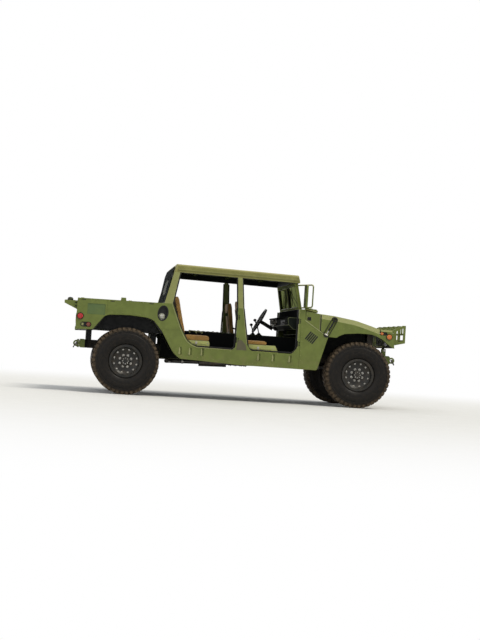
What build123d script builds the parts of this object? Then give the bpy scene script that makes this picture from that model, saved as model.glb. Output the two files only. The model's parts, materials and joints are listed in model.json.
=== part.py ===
"""Open four-door army 4x4 utility car with its doors off, in millimetres.

X points forward, Y to the car's left and Z up. Every outline is given from the point
on the ground below the middle of the wheelbase; CENTRE_SHIFT then moves the whole car
so that the origin is below the middle of its box.
"""
import os
from math import cos, pi, radians, sin

from build123d import *

os.makedirs("parts", exist_ok=True)

# Driving dimensions
WHEELBASE = 3302
TRACK = 1820
TYRE_R = 470
TYRE_HALF = 159
RIM_R = 210
BODY_HALF = 1080
SKIN = 50
BELT_Z = 1310
LEAN = 11
ROOF_HALF = 985
RAIL_IN, RAIL_OUT = 325, 400
RAIL_LOW, RAIL_TOP = 620, 740
FLOOR_LOW, FLOOR_TOP = 540, 560
SHEET = 20
TUNNEL_HALF = 430
TUNNEL_Z = 955
BED_Z = 890
DIFF_Z = 560
KINGPIN_Y = 710
STEER_ARM = 230
HINGE_X, HINGE_Z = 2160, 850
GATE_X, GATE_Z = -2366, 897
FRONT_END = 2345
REAR_END = -2550

AXLE_F = WHEELBASE / 2
AXLE_R = -WHEELBASE / 2
HUB_Y = TRACK / 2
PANEL_IN = BODY_HALF - SKIN
CENTRE_SHIFT = -(FRONT_END + REAR_END) / 2


def outline(*points, y, depth, rounds=(), mode=Mode.ADD):
    """Extrude a side-view outline of (x, z) points from y towards the car's right.

    rounds lists corners of the outline as (x, z, radius).
    """
    with BuildSketch(Plane.XZ.offset(-y)) as side_view:
        with BuildLine():
            Polyline(*points, close=True)
        make_face()
        for x, z, radius in rounds:
            corner = [v for v in side_view.vertices() if abs(v.X - x) < 1 and abs(v.Y - z) < 1]
            fillet(corner, radius)
    extrude(side_view.sketch, amount=depth, mode=mode)


def block(x, y, z, mode=Mode.ADD):
    """A box from three (low, high) pairs."""
    middle = ((x[0] + x[1]) / 2, (y[0] + y[1]) / 2, (z[0] + z[1]) / 2)
    with Locations(middle):
        Box(x[1] - x[0], y[1] - y[0], z[1] - z[0], mode=mode)


def rod(start, end, radius, mode=Mode.ADD):
    """A round bar between two points."""
    line = Vector(*end) - Vector(*start)
    with BuildSketch(Plane(origin=start, z_dir=line)) as section:
        Circle(radius)
    extrude(section.sketch, amount=line.length, mode=mode)


def tow_ring(x, y, z, eye_r, bore_r, thickness):
    """An upright shackle ring across the car."""
    with BuildSketch(Plane.XZ.offset(-y - thickness / 2)) as ring:
        with Locations((x, z)):
            Circle(eye_r)
            Circle(bore_r, mode=Mode.SUBTRACT)
    extrude(ring.sketch, amount=thickness)


# Ladder frame with its cross-members, pivot brackets and spring towers
CROSS = (
    # middle along X, low, high
    (-2180, RAIL_LOW + 10, RAIL_TOP - 10),
    (AXLE_R, 690, 730),
    (-1250, RAIL_LOW + 10, RAIL_TOP - 10),
    (-600, RAIL_LOW + 10, RAIL_TOP - 10),
    (300, RAIL_LOW, RAIL_LOW + 35),
    (760, RAIL_LOW, RAIL_LOW + 35),
    (AXLE_F, 690, 730),
    (2060, RAIL_LOW + 10, RAIL_TOP - 10),
)
CROSS_HALF = 40
DIFF_TOP = 690
ARMS = (
    # pivot height, ball height, half spread of the pivots, half width of a leg
    (480, 392, 150, 25),
    (770, 700, 75, 20),
)
SPRING_X = -105
SPRING_Y = 545
SPRING_LOW, SPRING_TOP = 475, 830
PLATE_TOP = 848
with BuildPart() as frame:
    block((-2230, 2110), (RAIL_IN, RAIL_OUT), (RAIL_LOW, RAIL_TOP))
    for axle in (AXLE_F, AXLE_R):
        spring_x = axle + SPRING_X
        block((spring_x - 55, spring_x + 55), (RAIL_OUT, 600), (SPRING_TOP, PLATE_TOP))
        block((spring_x - 75, spring_x - 55), (RAIL_OUT, 480), (650, PLATE_TOP))
        block((spring_x - 75, spring_x - 20), (RAIL_IN, RAIL_OUT), (RAIL_TOP, PLATE_TOP))
        for side in (-1, 1):
            x = axle + side * ARMS[0][2]
            block((x - 25, x + 25), (RAIL_IN, RAIL_OUT), (440, RAIL_LOW))
            x = axle + side * ARMS[1][2]
            block((x - 20, x + 20), (RAIL_IN, RAIL_OUT), (RAIL_TOP, 805))
    mirror(about=Plane.XZ)
    for x, low, high in CROSS:
        block((x - CROSS_HALF, x + CROSS_HALF), (-RAIL_IN, RAIL_IN), (low, high))

# Bumpers with their tow rings, the hood's hinge lugs and the hitch plate
BUMPER_HALF = 560
RING_R, RING_BORE, RING_THICK = 45, 22, 24
with BuildPart() as front_bumper:
    block((2110, 2200), (-BUMPER_HALF, BUMPER_HALF), (640, 770))
    chamfer(front_bumper.edges().filter_by(Axis.Y).group_by(Axis.X)[-1], 18)
    for y in (-450, 450):
        block((2200, 2215), (y - 30, y + 30), (670, 740))
        tow_ring(2245, y, 705, RING_R, RING_BORE, RING_THICK)
    for y in (-300, 300):
        block((2120, 2180), (y - 32, y - 20), (770, HINGE_Z + 20))
        block((2120, 2180), (y + 20, y + 32), (770, HINGE_Z + 20))
        rod((HINGE_X, y - 32, HINGE_Z), (HINGE_X, y + 32, HINGE_Z), 10)

HITCH_Z = 680
with BuildPart() as rear_bumper:
    block((-2310, -2230), (-BUMPER_HALF, BUMPER_HALF), (RAIL_LOW, RAIL_TOP))
    chamfer(rear_bumper.edges().filter_by(Axis.Y).group_by(Axis.X)[0], 18)
    block((-2330, -2310), (-90, 90), (RAIL_LOW, RAIL_TOP))
    for y in (-430, 430):
        block((-2325, -2310), (y - 30, y + 30), (645, 715))
        tow_ring(-2350, y, HITCH_Z, RING_R, RING_BORE, RING_THICK)
    with BuildSketch(Plane.YZ.offset(-2335)):
        with Locations((0, HITCH_Z)):
            with GridLocations(110, 60, 2, 2):
                Circle(6.5)
    extrude(amount=110, mode=Mode.SUBTRACT)

# Cab floor wells, tunnel, firewall and rear wall
FIREWALL_X = 825
FLOOR_LINE = (
    (FIREWALL_X, 1250), (FIREWALL_X, 1000), (1010, 800), (1010, FLOOR_TOP), (-860, FLOOR_TOP),
    (-1000, 700), (-1130, 905), (-1130, 1300), (-1150, 1300), (-1150, 899), (-1017, 687),
    (-869, FLOOR_LOW), (1030, FLOOR_LOW), (1030, 807), (845, 1008), (845, 1250),
)
with BuildPart() as cab_floor:
    outline(*FLOOR_LINE, y=PANEL_IN, depth=2 * PANEL_IN)
    block((-1200, 1100), (-TUNNEL_HALF, TUNNEL_HALF), (500, TUNNEL_Z), mode=Mode.SUBTRACT)
    block((-1150, 1030), (-TUNNEL_HALF, TUNNEL_HALF), (FLOOR_LOW, TUNNEL_Z))
    inner = TUNNEL_HALF - SHEET
    block((-1200, 1100), (-inner, inner), (500, TUNNEL_Z - SHEET), mode=Mode.SUBTRACT)

# Body side: rocker, lower front panel, quarter panel and the two leaning posts
SIDE_LINE = (
    (-2368, 1312), (-1041, 1312), (-914, 993), (-811, 803), (-665, 723), (-169, 716), (-126, 760),
    (-118, BELT_Z), (-46, BELT_Z), (40, 800), (100, 716), (679, 712), (752, 801), (752, 1352),
    (840, 1352), (849, 1200), (1186, 984), (1050, 503), (813, 503), (-43, 509), (-893, 551),
    (-982, 616), (-1044, 704), (-1170, 920), (-1291, 1060), (-1391, 1096), (-1631, 1115),
    (-1909, 1107), (-1984, 1081), (-2139, 883), (-2379, 877),
)
SIDE_ROUNDS = (
    # corner, radius
    (-914, 993, 300), (-811, 803, 200), (-665, 723, 120), (-169, 716, 20), (-126, 760, 20),
    (40, 800, 60), (100, 716, 40), (679, 712, 40), (752, 801, 40), (1050, 503, 30),
    (-893, 551, 60), (-982, 616, 60), (-1044, 704, 80), (-1170, 920, 200), (-1291, 1060, 120),
    (-1391, 1096, 120), (-1631, 1115, 500), (-1909, 1107, 120), (-1984, 1081, 60), (-2139, 883, 40),
)
POSTS = (
    # foot rear, foot front, top front, top rear: distances along X
    (-1160, -1045, -952, -1034),
    (-118, -46, -78, -140),
)
POST_TOP = 500
LEAN_PLANE = Plane(
    origin=(0, -BODY_HALF, BELT_Z - 1),
    x_dir=(1, 0, 0),
    z_dir=(0, -cos(radians(LEAN)), sin(radians(LEAN))),
)
ROOF_LOW_REAR, ROOF_LOW_FRONT = (-1046, 1766), (752, 1722)
ABOVE_ROOF = ((-1300, 2000), (900, 2000), (900, 1718), ROOF_LOW_FRONT, ROOF_LOW_REAR, (-1300, 1773))
RIBS = (
    # distance along X and height of the pressed-in ribs on the rocker
    (-894, 660), (-752, 660), (-583, 660), (219, 640), (426, 640), (663, 640),
)
RIB_W, RIB_H, RIB_DEEP = 35, 110, 14
LOUVRE = (946, 958)
LOUVRE_STEP = (24, -15.5)
LOUVRE_TURN = 54
SEAM_W, SEAM_DEEP = 5, 4


def body_side():
    """The right-hand side, in the open builder."""
    outline(*SIDE_LINE, y=-PANEL_IN, depth=SKIN, rounds=SIDE_ROUNDS)
    for foot_rear, foot_front, top_front, top_rear in POSTS:
        with BuildSketch(LEAN_PLANE) as post:
            with BuildLine():
                Polyline(
                    (foot_rear, 0), (foot_front, 0), (top_front, POST_TOP), (top_rear, POST_TOP),
                    close=True,
                )
            make_face()
        extrude(post.sketch, amount=-SKIN)
    outline(*ABOVE_ROOF, y=-700, depth=500, mode=Mode.SUBTRACT)

    # Pressed-in ribs, cooling louvre, quarter panel pressing and the marker lamp's recess
    with BuildSketch(Plane.XZ.offset(BODY_HALF - RIB_DEEP)) as ribs:
        with Locations(*RIBS):
            SlotOverall(RIB_H, RIB_W, rotation=90)
        with Locations((-2235, 948)):
            SlotOverall(155, 72)
    extrude(ribs.sketch, amount=2 * RIB_DEEP, mode=Mode.SUBTRACT)
    with BuildSketch(Plane.XZ.offset(BODY_HALF - 30)) as louvre:
        for step in range(-2, 3):
            with Locations((LOUVRE[0] + step * LOUVRE_STEP[0], LOUVRE[1] + step * LOUVRE_STEP[1])):
                SlotOverall(132, 11, rotation=LOUVRE_TURN)
    extrude(louvre.sketch, amount=40, mode=Mode.SUBTRACT)
    with BuildSketch(Plane.XZ.offset(BODY_HALF - 6)) as pressing:
        with Locations((-2103, 1168)):
            RectangleRounded(250, 151, 18)
    extrude(pressing.sketch, amount=12, mode=Mode.SUBTRACT)

    # Panel seams and the tie-down slots under the top edge
    seam_y = (-BODY_HALF - 1, -BODY_HALF + SEAM_DEEP)
    block((784, 784 + SEAM_W), seam_y, (500, 1120), mode=Mode.SUBTRACT)
    block((-1178, -885), seam_y, (947, 947 + SEAM_W), mode=Mode.SUBTRACT)
    block((-1955, -1955 + SEAM_W), seam_y, (1120, 1313), mode=Mode.SUBTRACT)
    for x in (-2284, -1886, -1341):
        block((x - 30, x + 30), (-BODY_HALF - 1, -BODY_HALF + 12), (1284, 1298), mode=Mode.SUBTRACT)

    # Lashing block on the top edge
    outline((-1771, 1311), (-1694, 1311), (-1700, 1352), (-1765, 1352), y=-1045, depth=28)


FILLER = (-1172, 1170)
with BuildPart() as body_side_right:
    body_side()
    with BuildSketch(Plane.XZ.offset(BODY_HALF - 30)):
        with Locations(Location((*FILLER, 0), -8)):
            Ellipse(64, 98)
    extrude(amount=40, mode=Mode.SUBTRACT)
with BuildPart() as body_side_left:
    body_side()
    mirror(about=Plane.XZ, mode=Mode.REPLACE)
with BuildPart() as filler_cap:
    rod((-1186, 30 - BODY_HALF, 1125), (-1186, 6 - BODY_HALF, 1125), 36)
    block((-1214, -1158), (-BODY_HALF - 2, 6 - BODY_HALF), (1119, 1131))

with BuildPart() as cowl:
    outline(
        (752, 1250), (845, 1250), (845, 1330), (800, 1352), (752, 1352), y=PANEL_IN, depth=2 * PANEL_IN
    )

# Windshield
SHIELD_FOOT = 1352
SHIELD_TOP = 385
SHIELD_PANE = ((35, 40), (900, 40), (870, SHIELD_TOP - 45), (35, SHIELD_TOP - 45))
shield_plane = Plane(
    origin=(800, 0, SHIELD_FOOT), x_dir=(0, 1, 0), z_dir=(cos(radians(LEAN)), 0, sin(radians(LEAN)))
)

with BuildPart() as windshield_frame:
    with BuildSketch(shield_plane):
        with BuildLine():
            Polyline((-985, 0), (985, 0), (940, SHIELD_TOP), (-940, SHIELD_TOP), close=True)
        make_face()
        for side in (-1, 1):
            with BuildLine():
                Polyline(*[(side * y, up) for y, up in SHIELD_PANE], close=True)
            make_face(mode=Mode.SUBTRACT)
    extrude(amount=-45)
    outline(*ABOVE_ROOF, y=1100, depth=2200, mode=Mode.SUBTRACT)
    block((600, 900), (-1100, 1100), (1300, SHIELD_FOOT), mode=Mode.SUBTRACT)

with BuildPart() as windshield_glass:
    with BuildSketch(shield_plane.offset(-20)):
        for side in (-1, 1):
            with BuildLine():
                Polyline(*[(side * y, up) for y, up in SHIELD_PANE], close=True)
            make_face()
    extrude(amount=-6)

# Roof with its drip rails, and the curtain behind the cab
ROOF_LINE = ((-1011, 1878), (728, 1831), (752, 1745), ROOF_LOW_FRONT, ROOF_LOW_REAR)
with BuildPart() as roof:
    outline(*ROOF_LINE, y=ROOF_HALF, depth=2 * ROOF_HALF)
    fillet(
        [e for e in roof.edges() if abs(abs(e.center().Y) - ROOF_HALF) < 1 and e.center().Z > 1815], 24
    )
    outline(
        (-940, 1700), (-940, 1851), (670, 1808), (670, 1700), y=915, depth=1830, mode=Mode.SUBTRACT
    )
    for y in (ROOF_HALF + 12, -ROOF_HALF):
        outline((-992, 1799), (738, 1756), (738, 1768), (-992, 1811), y=y, depth=12)

with BuildPart() as rear_curtain:
    outline(
        (-1148, 1300), (-1128, 1300), ROOF_LOW_REAR, (-1019.75, 1850), (-1038, 1850), (-1066, 1766),
        y=930, depth=1860,
    )

# Cargo bed with its wheel housings, sills and front wall
HOUSE_LINE = (
    (-2139, 890), (-1984, 1101), (-1909, 1127), (-1631, 1135), (-1391, 1116), (-1291, 1080), (-1152, 899),
)
HOUSE_IN = (
    (-2115, 889), (-1975, 1081), (-1905, 1107), (-1631, 1115), (-1396, 1096), (-1303, 1062), (-1176, 889),
)
BED_HALF = 560
BED_TOP = BED_Z + SHEET
with BuildPart() as cargo_bed:
    block((GATE_X + 30, -1152), (0, BED_HALF), (BED_Z, BED_TOP))
    outline(*HOUSE_LINE, (-1152, 890), y=PANEL_IN, depth=PANEL_IN - BED_HALF)
    outline(
        *HOUSE_IN, (-1176, 800), (-2115, 800), y=PANEL_IN, depth=PANEL_IN - BED_HALF - SHEET,
        mode=Mode.SUBTRACT,
    )
    block((GATE_X + 30, -2122), (BED_HALF, PANEL_IN), (BED_Z, BED_TOP))
    block((-1172, -1152), (0, PANEL_IN), (1100, 1300))
    block((-2364, -2334), (806, PANEL_IN), (BED_Z, 1310))
    block((-2384, -2350), (806, 832), (GATE_Z - 15, GATE_Z + 15))
    rod((GATE_X, 800, GATE_Z), (GATE_X, 840, GATE_Z), 11, mode=Mode.SUBTRACT)
    block((-1172, -1152), (0, BED_HALF), (BED_Z, 1300))
    for x in (-2180, -1250):
        block((x - CROSS_HALF, x + CROSS_HALF), (0, RAIL_OUT), (RAIL_TOP, BED_Z))
    for y in (70, 190, 310, 430):
        block((-2290, -1220), (y - 25, y + 25), (BED_TOP - 5, BED_TOP + 1), mode=Mode.SUBTRACT)
    mirror(about=Plane.XZ)

GATE_HALF = 800
with BuildPart() as tailgate:
    block((GATE_X + 2, GATE_X + 24), (-GATE_HALF, GATE_HALF), (GATE_Z + 16, 1300))
    rod((GATE_X, -GATE_HALF - 25, GATE_Z), (GATE_X, GATE_HALF + 25, GATE_Z), 10)
    block((GATE_X - 2, GATE_X + 8), (-GATE_HALF, GATE_HALF), (GATE_Z, GATE_Z + 30))
    for y in (-600, -200, 200, 600):
        block((GATE_X - 6, GATE_X + 2), (y - 22, y + 22), (960, 1270))
    block((GATE_X - 6, GATE_X + 2), (-720, 720), (1262, 1290))

BRACKET_LINE = ((-2364, 1265), (REAR_END, 1265), (REAR_END, 1235), (-2364, 1150))
with BuildPart() as aerial_bracket:
    outline(*BRACKET_LINE, y=-900, depth=8)
    outline(*BRACKET_LINE, y=-1012, depth=8)
    block((REAR_END, -2364), (-1020, -900), (1265, 1273))
    rod((-2470, -960, 1273), (-2470, -960, 1300), 38)

# Seats on their boxes, with the frames that hold the backs
SEAT_Y = (470, 960)
BACK_THICK = 52
BACK_TOP = 1435
SEATS = (
    # box rear, front and bevel, cushion rear and front, box top, cushion top, back's foot and head
    (-860, -482, 14, -863, -480, 820, 892, -885, -1022),
    (-30, 500, 45, -30, 340, 812, 866, -30, -120),
)
with BuildPart() as seat_boxes:
    for rear, front, bevel, _, _, top, _, _, _ in SEATS:
        outline(
            (rear, FLOOR_TOP), (front, FLOOR_TOP), (front, top - 2 * bevel), (front - bevel, top),
            (rear, top), y=SEAT_Y[1], depth=SEAT_Y[1] - SEAT_Y[0],
        )
    mirror(about=Plane.XZ)
with BuildPart() as seat_cushions:
    for _, _, _, rear, front, low, top, _, _ in SEATS:
        block((rear, front), (SEAT_Y[0] + 10, SEAT_Y[1] - 10), (low, top))
    mirror(about=Plane.XZ)
with BuildPart() as seat_backs:
    for _, _, _, _, _, _, low, foot, head in SEATS:
        outline(
            (foot, low), (foot + BACK_THICK, low), (head + BACK_THICK, BACK_TOP), (head, BACK_TOP),
            y=SEAT_Y[1] - 10, depth=SEAT_Y[1] - SEAT_Y[0] - 20,
        )
    mirror(about=Plane.XZ)


def behind_back(seat, z):
    """Distance along X of the rear face of a seat's back at a height."""
    low, foot, head = seat[-3:]
    return foot + (head - foot) * (z - low) / (BACK_TOP - low)


with BuildPart() as seat_frames:
    rear_seat, front_seat = SEATS
    for y in (590, 880):
        outline(
            (-1130, 1180), (behind_back(rear_seat, 1180), 1180), (behind_back(rear_seat, 1240), 1240),
            (-1130, 1240), y=y, depth=30,
        )
        head_x = behind_back(front_seat, 1300)
        outline(
            (-44, FLOOR_TOP), (-30, FLOOR_TOP), (-30, 866), (head_x, 1300), (head_x - 14, 1300), (-44, 866),
            y=y, depth=40,
        )
    low_x, high_x = behind_back(front_seat, 1230), behind_back(front_seat, 1280)
    outline((low_x - 14, 1230), (low_x, 1230), (high_x, 1280), (high_x - 14, 1280), y=870, depth=300)
    mirror(about=Plane.XZ)

# Dashboard and steering
DASH_LINE = ((600, 1230), (FIREWALL_X, 1230), (FIREWALL_X, 1060), (690, 1060), (620, 1120))
with BuildPart() as dashboard:
    outline(*DASH_LINE, y=1000, depth=2000, rounds=((600, 1230, 30),))

WHEEL_CENTRE = (400, 640, 1190)
COLUMN_DIR = (cos(radians(28)), 0, -sin(radians(28)))


def along_column(distance):
    """The point on the steering axis at a distance ahead of the wheel's centre."""
    return [c + distance * d for c, d in zip(WHEEL_CENTRE, COLUMN_DIR)]


with BuildPart() as steering_column:
    rod(along_column(12), along_column(235), 28)
    outline((620, 1120), (690, 1060), (640, 1060), (606, 1090), y=680, depth=80)
    rod(along_column(12), along_column(75), 14, mode=Mode.SUBTRACT)
with BuildPart() as steering_wheel:
    hoop = Plane(origin=WHEEL_CENTRE, z_dir=COLUMN_DIR)
    with BuildSketch(hoop.offset(-14)):
        Circle(205)
        Circle(178, mode=Mode.SUBTRACT)
    extrude(amount=26)
    with BuildSketch(hoop.offset(-8)):
        Circle(45)
        for turn in (90, 210, 330):
            with Locations(Location((0, 0), turn)):
                with Locations((95, 0)):
                    Rectangle(185, 30)
    extrude(amount=14)
    rod(along_column(0), along_column(65), 13)

# Hood: one shell with fenders, grille and lamps that tips forward
HOOD_TOP = (
    (848, 1330), (1067, 1304), (1263, 1288), (1591, 1239), (1818, 1174), (1942, 1134), (2105, 1134),
)
HOOD_LOW = (
    (2146, 881), (2079, 912), (1995, 978), (1905, 1030), (1816, 1060), (1613, 1065), (1398, 1040),
    (1301, 980), (1192, 986), (855, 1204),
)
HOOD_IN = (
    (800, 1308), (1064, 1278), (1258, 1262), (1583, 1214), (1808, 1149), (1930, 1109), (2075, 1109),
    (2112, 870), (2112, 700), (800, 700),
)
ARCH_ROUNDS = (
    (2079, 912, 60), (1995, 978, 80), (1905, 1030, 150), (1816, 1060, 150), (1613, 1065, 400),
    (1398, 1040, 120), (1301, 980, 60), (1591, 1239, 600), (1263, 1288, 600),
)
CORE_HALF = PANEL_IN + 15
NOSE_X = 1942
LAMP_Y, LAMP_Z, LAMP_R = 700, 1000, 90
SLOT_W, SLOT_H, SLOT_STEP, SLOTS = 50, 200, 100, 8


def hood_front(z):
    """Distance along X of the hood's sloping front at a height."""
    (x_top, z_top), (x_low, z_low) = HOOD_TOP[-1], HOOD_LOW[0]
    return x_top + (x_low - x_top) * (z_top - z) / (z_top - z_low)


def hood_prism(*points, half_width, rounds, shoulder, nose_shoulder):
    """A prism across the car with its top edges cut back, less so over the flat nose."""
    for low_x, high_x, cut in ((800, NOSE_X, shoulder), (NOSE_X, 2200, nose_shoulder)):
        with BuildPart() as stretch:
            outline(*points, y=half_width, depth=2 * half_width, rounds=rounds)
            block((low_x, high_x), (-half_width, half_width), (600, 1400), mode=Mode.INTERSECT)
            top_edges = [
                e
                for e in stretch.edges()
                if abs(abs(e.center().Y) - half_width) < 1 and e.center().Z > 1100 and e.center().X > 900
            ]
            chamfer(top_edges, cut)
        add(stretch.part)


with BuildPart() as hood_core:
    hood_prism(*HOOD_IN, half_width=CORE_HALF, rounds=(), shoulder=60, nose_shoulder=18)

with BuildPart() as hood:
    hood_prism(
        *HOOD_TOP, *HOOD_LOW, half_width=BODY_HALF, rounds=ARCH_ROUNDS, shoulder=70, nose_shoulder=24
    )
    with BuildSketch(Plane.YZ.offset(2095)) as bezels:
        with Locations((-LAMP_Y, LAMP_Z), (LAMP_Y, LAMP_Z)):
            Circle(LAMP_R + 16)
    extrude(bezels.sketch, amount=53)
    add(hood_core.part, mode=Mode.SUBTRACT)
    block((800, 1072), (-1100, -620), (900, 1400), mode=Mode.SUBTRACT)
    with BuildSketch(Plane.YZ.offset(2000)) as front_cuts:
        with GridLocations(SLOT_STEP, 1, SLOTS, 1):
            with Locations((0, 990)):
                SlotOverall(SLOT_H, SLOT_W, rotation=90)
        with Locations((-LAMP_Y, LAMP_Z), (LAMP_Y, LAMP_Z)):
            Circle(LAMP_R)
    extrude(front_cuts.sketch, amount=200, mode=Mode.SUBTRACT)
    with BuildSketch(Plane.XY.offset(1080)) as top_cuts:
        with Locations((1950, 0)):
            with GridLocations(28, 1, 8, 1):
                SlotOverall(560, 13, rotation=90)
    extrude(top_cuts.sketch, amount=150, mode=Mode.SUBTRACT)

    # Latch rings and marker lamp recesses in both sides
    with BuildSketch(Plane.XZ.offset(BODY_HALF - 12)) as side_cuts:
        with Locations(Location((1213, 1132, 0), 63)):
            SlotOverall(262, 84)
            SlotOverall(222, 44, mode=Mode.SUBTRACT)
        with Locations((1978, 1080)):
            SlotOverall(116, 50)
    extrude(side_cuts.sketch, amount=24, mode=Mode.SUBTRACT)
    mirrored_cuts = side_cuts.sketch.mirror(Plane.XZ)
    extrude(mirrored_cuts, amount=24, dir=(0, 1, 0), mode=Mode.SUBTRACT)
    for y in (-300, 300):
        with BuildSketch(Plane.XZ.offset(-y - 18)) as lug:
            with Locations((HINGE_X, HINGE_Z)):
                Circle(24)
            with BuildLine():
                Polyline(
                    (HINGE_X - 24, HINGE_Z), (HINGE_X + 20, HINGE_Z), (2140, 900), (2118, 900), close=True
                )
            make_face()
            with Locations((HINGE_X, HINGE_Z)):
                Circle(11, mode=Mode.SUBTRACT)
        extrude(lug.sketch, amount=36)

with BuildPart() as headlamps:
    with BuildSketch(Plane.YZ.offset(2085)):
        with Locations((-LAMP_Y, LAMP_Z), (LAMP_Y, LAMP_Z)):
            Circle(LAMP_R - 0.5)
    extrude(amount=48)

SIDE_LENSES = (
    # colour, x, z, radius, depth of the recess it stands in
    ("amber", 2064, 1037, 37, 0),
    ("amber", 1958, 1080, 21, 12),
    ("red", -2319, 1060, 40, 0),
    ("red", -2200, 948, 30, 14),
)


def side_lenses(colour):
    """The lenses of one colour on the car's left."""
    for name, x, z, radius, deep in SIDE_LENSES:
        if name == colour:
            rod((x, BODY_HALF - deep, z), (x, BODY_HALF - deep + 10, z), radius)


with BuildPart() as amber_lenses:
    side_lenses("amber")
    with BuildSketch(Plane.YZ.offset(2115)) as turn_lamp:
        with Locations((920, 1000)):
            Circle(48)
    extrude(turn_lamp.sketch, amount=28)
    mirror(about=Plane.XZ)
    add(hood.part, mode=Mode.SUBTRACT)
with BuildPart() as red_lenses:
    side_lenses("red")
    rod((-2364, 925, 1040), (-2376, 925, 1040), 50)
    mirror(about=Plane.XZ)

# Brush guard: hoops before the hood's front, joined by bars
HOOP_Y = (170, 510, 850)
HOOP_THICK = 14
GUARD_TOP, GUARD_LOW = 1218, 965
BAND = 34
with BuildPart() as front_guard:
    for y in HOOP_Y:
        outline(
            (hood_front(1120), 1120), (FRONT_END - 44, GUARD_TOP), (FRONT_END, GUARD_TOP),
            (FRONT_END, GUARD_LOW), (hood_front(915), 915), (hood_front(950), 950),
            (FRONT_END - BAND, GUARD_LOW + 30), (FRONT_END - BAND, GUARD_TOP - 40), (hood_front(1082), 1082),
            y=y + HOOP_THICK / 2, depth=HOOP_THICK,
        )
    with BuildSketch(Plane.XZ.offset(-HOOP_Y[-1] - HOOP_THICK / 2)) as side_plate:
        with BuildLine():
            Polyline(
                (hood_front(1100), 1100), (2160, 1130), (2243, 1162), (2243, 960), (2160, 940),
                (hood_front(930), 930), close=True,
            )
        make_face()
        with Locations((2222, 1075)):
            SlotOverall(130, 14, rotation=90, mode=Mode.SUBTRACT)
        with Locations((2158, 1085)):
            SlotOverall(64, 12, rotation=90, mode=Mode.SUBTRACT)
    extrude(side_plate.sketch, amount=HOOP_THICK)
    block((FRONT_END - 28, FRONT_END - 6), (665, 675), (1100, GUARD_TOP - 30))
    mirror(about=Plane.XZ)
    for z in (GUARD_LOW + 20, 1080, GUARD_TOP - 32):
        block(
            (FRONT_END - BAND + 6, FRONT_END - 6), (-HOOP_Y[-1] - 10, HOOP_Y[-1] + 10), (z, z + 26)
        )

# Air intake box in the notch on the right
def seam_z(x):
    """Height of the slanted seam on top of the body side."""
    return 1200 - (x - 849) * (1200 - 984) / (1186 - 849)


with BuildPart() as air_intake:
    outline(
        (852, seam_z(852)), (1064, seam_z(1064)), (1064, 1300), (852, 1326), y=-640, depth=430
    )
    block((872, 930), (-1071, -1058), (1198, 1250), mode=Mode.SUBTRACT)
    with Locations((955, -840, 1343)):
        Cylinder(80, 50)
    rod((955, -840, 1336), (961, -840, 1368), 94)

# Mirrors on tube brackets that grip the windshield frame
MIRROR_Y = 1120
HEAD_X, HEAD_Y = 828, 1062
with BuildPart() as mirrors:
    with BuildLine() as hoop_line:
        FilletPolyline(
            (712, 925, 1690), (775, 1010, 1694), (925, MIRROR_Y, 1704), (925, MIRROR_Y, 1386),
            (815, 1015, 1376), (775, 960, 1374), radius=30,
        )
    with BuildSketch(Plane(origin=hoop_line.line @ 0, z_dir=hoop_line.line % 0)):
        RegularPolygon(10, 12)
    sweep(path=hoop_line.line)
    with BuildSketch(Plane.YZ.offset(HEAD_X)) as head:
        with Locations((HEAD_Y, 1540)):
            RectangleRounded(150, 330, 18)
    extrude(head.sketch, amount=28)
    add(windshield_frame.part, mode=Mode.SUBTRACT)
    mirror(about=Plane.XZ)
with BuildPart() as mirror_glass:
    with BuildSketch(Plane.YZ.offset(HEAD_X - 4)) as face:
        with Locations((HEAD_Y, 1540)):
            RectangleRounded(136, 276, 14)
    extrude(face.sketch, amount=4)
    mirror(about=Plane.XZ)

# Engine, gearbox, radiator, exhaust and fuel tank with what carries them
SHAFT_Z = 810
with BuildPart() as engine_block:
    block((1040, 1640), (-270, 270), (750, 1150))
    for low_y, high_y in ((-RAIL_IN, -265), (265, RAIL_IN)):
        block((1535, 1600), (low_y, high_y), (700, 760))
with BuildPart() as gearbox:
    rod((0, 0, SHAFT_Z), (1040, 0, SHAFT_Z), 112)
    block((-100, 160), (-120, 120), (490, 760))
    for x in (300, 760):
        block((x - 30, x + 30), (-60, 60), (RAIL_LOW + 35, 720))
with BuildPart() as radiator:
    block((1880, 1960), (-380, 380), (RAIL_TOP, 1080))

# Splash panels: stand on the rails between the front wheels and the engine
SPLASH_TOP = ((1072, 1258), (1258, 1246), (1583, 1198), (1808, 1133), (1860, 1114))
SHEET, FLANGE = 6, 24
with BuildPart() as splash_panels:
    outline(*SPLASH_TOP, (1860, RAIL_TOP), (1072, RAIL_TOP), y=RAIL_IN + SHEET, depth=SHEET)
    lower_edge = [(x, z - SHEET) for x, z in reversed(SPLASH_TOP)]
    outline(*SPLASH_TOP, *lower_edge, y=RAIL_IN, depth=FLANGE)
    mirror(about=Plane.XZ)
    add(frame.part, mode=Mode.SUBTRACT)
PIPE_R, PIPE_SIDES = 30, 16
with BuildPart() as exhaust:
    with BuildLine() as pipe_line:
        FilletPolyline(
            (1560, -225, 750), (1560, -225, 560), (-980, -225, 505), (-1060, -640, 505), radius=80
        )
    with BuildSketch(Plane(origin=pipe_line.line @ 0, z_dir=pipe_line.line % 0)):
        RegularPolygon(PIPE_R, PIPE_SIDES)
    sweep(path=pipe_line.line)
    with BuildSketch(Plane(origin=pipe_line.line @ 1, z_dir=-(pipe_line.line % 1))):
        Circle(PIPE_R - 4)
    extrude(amount=60, mode=Mode.SUBTRACT)
    rod((-160, -225, 523), (-560, -225, 514), 60)
    block((-610, -590), (-235, -215), (520, RAIL_LOW + 10))
    block((290, 310), (-235, -215), (540, RAIL_LOW))
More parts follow.
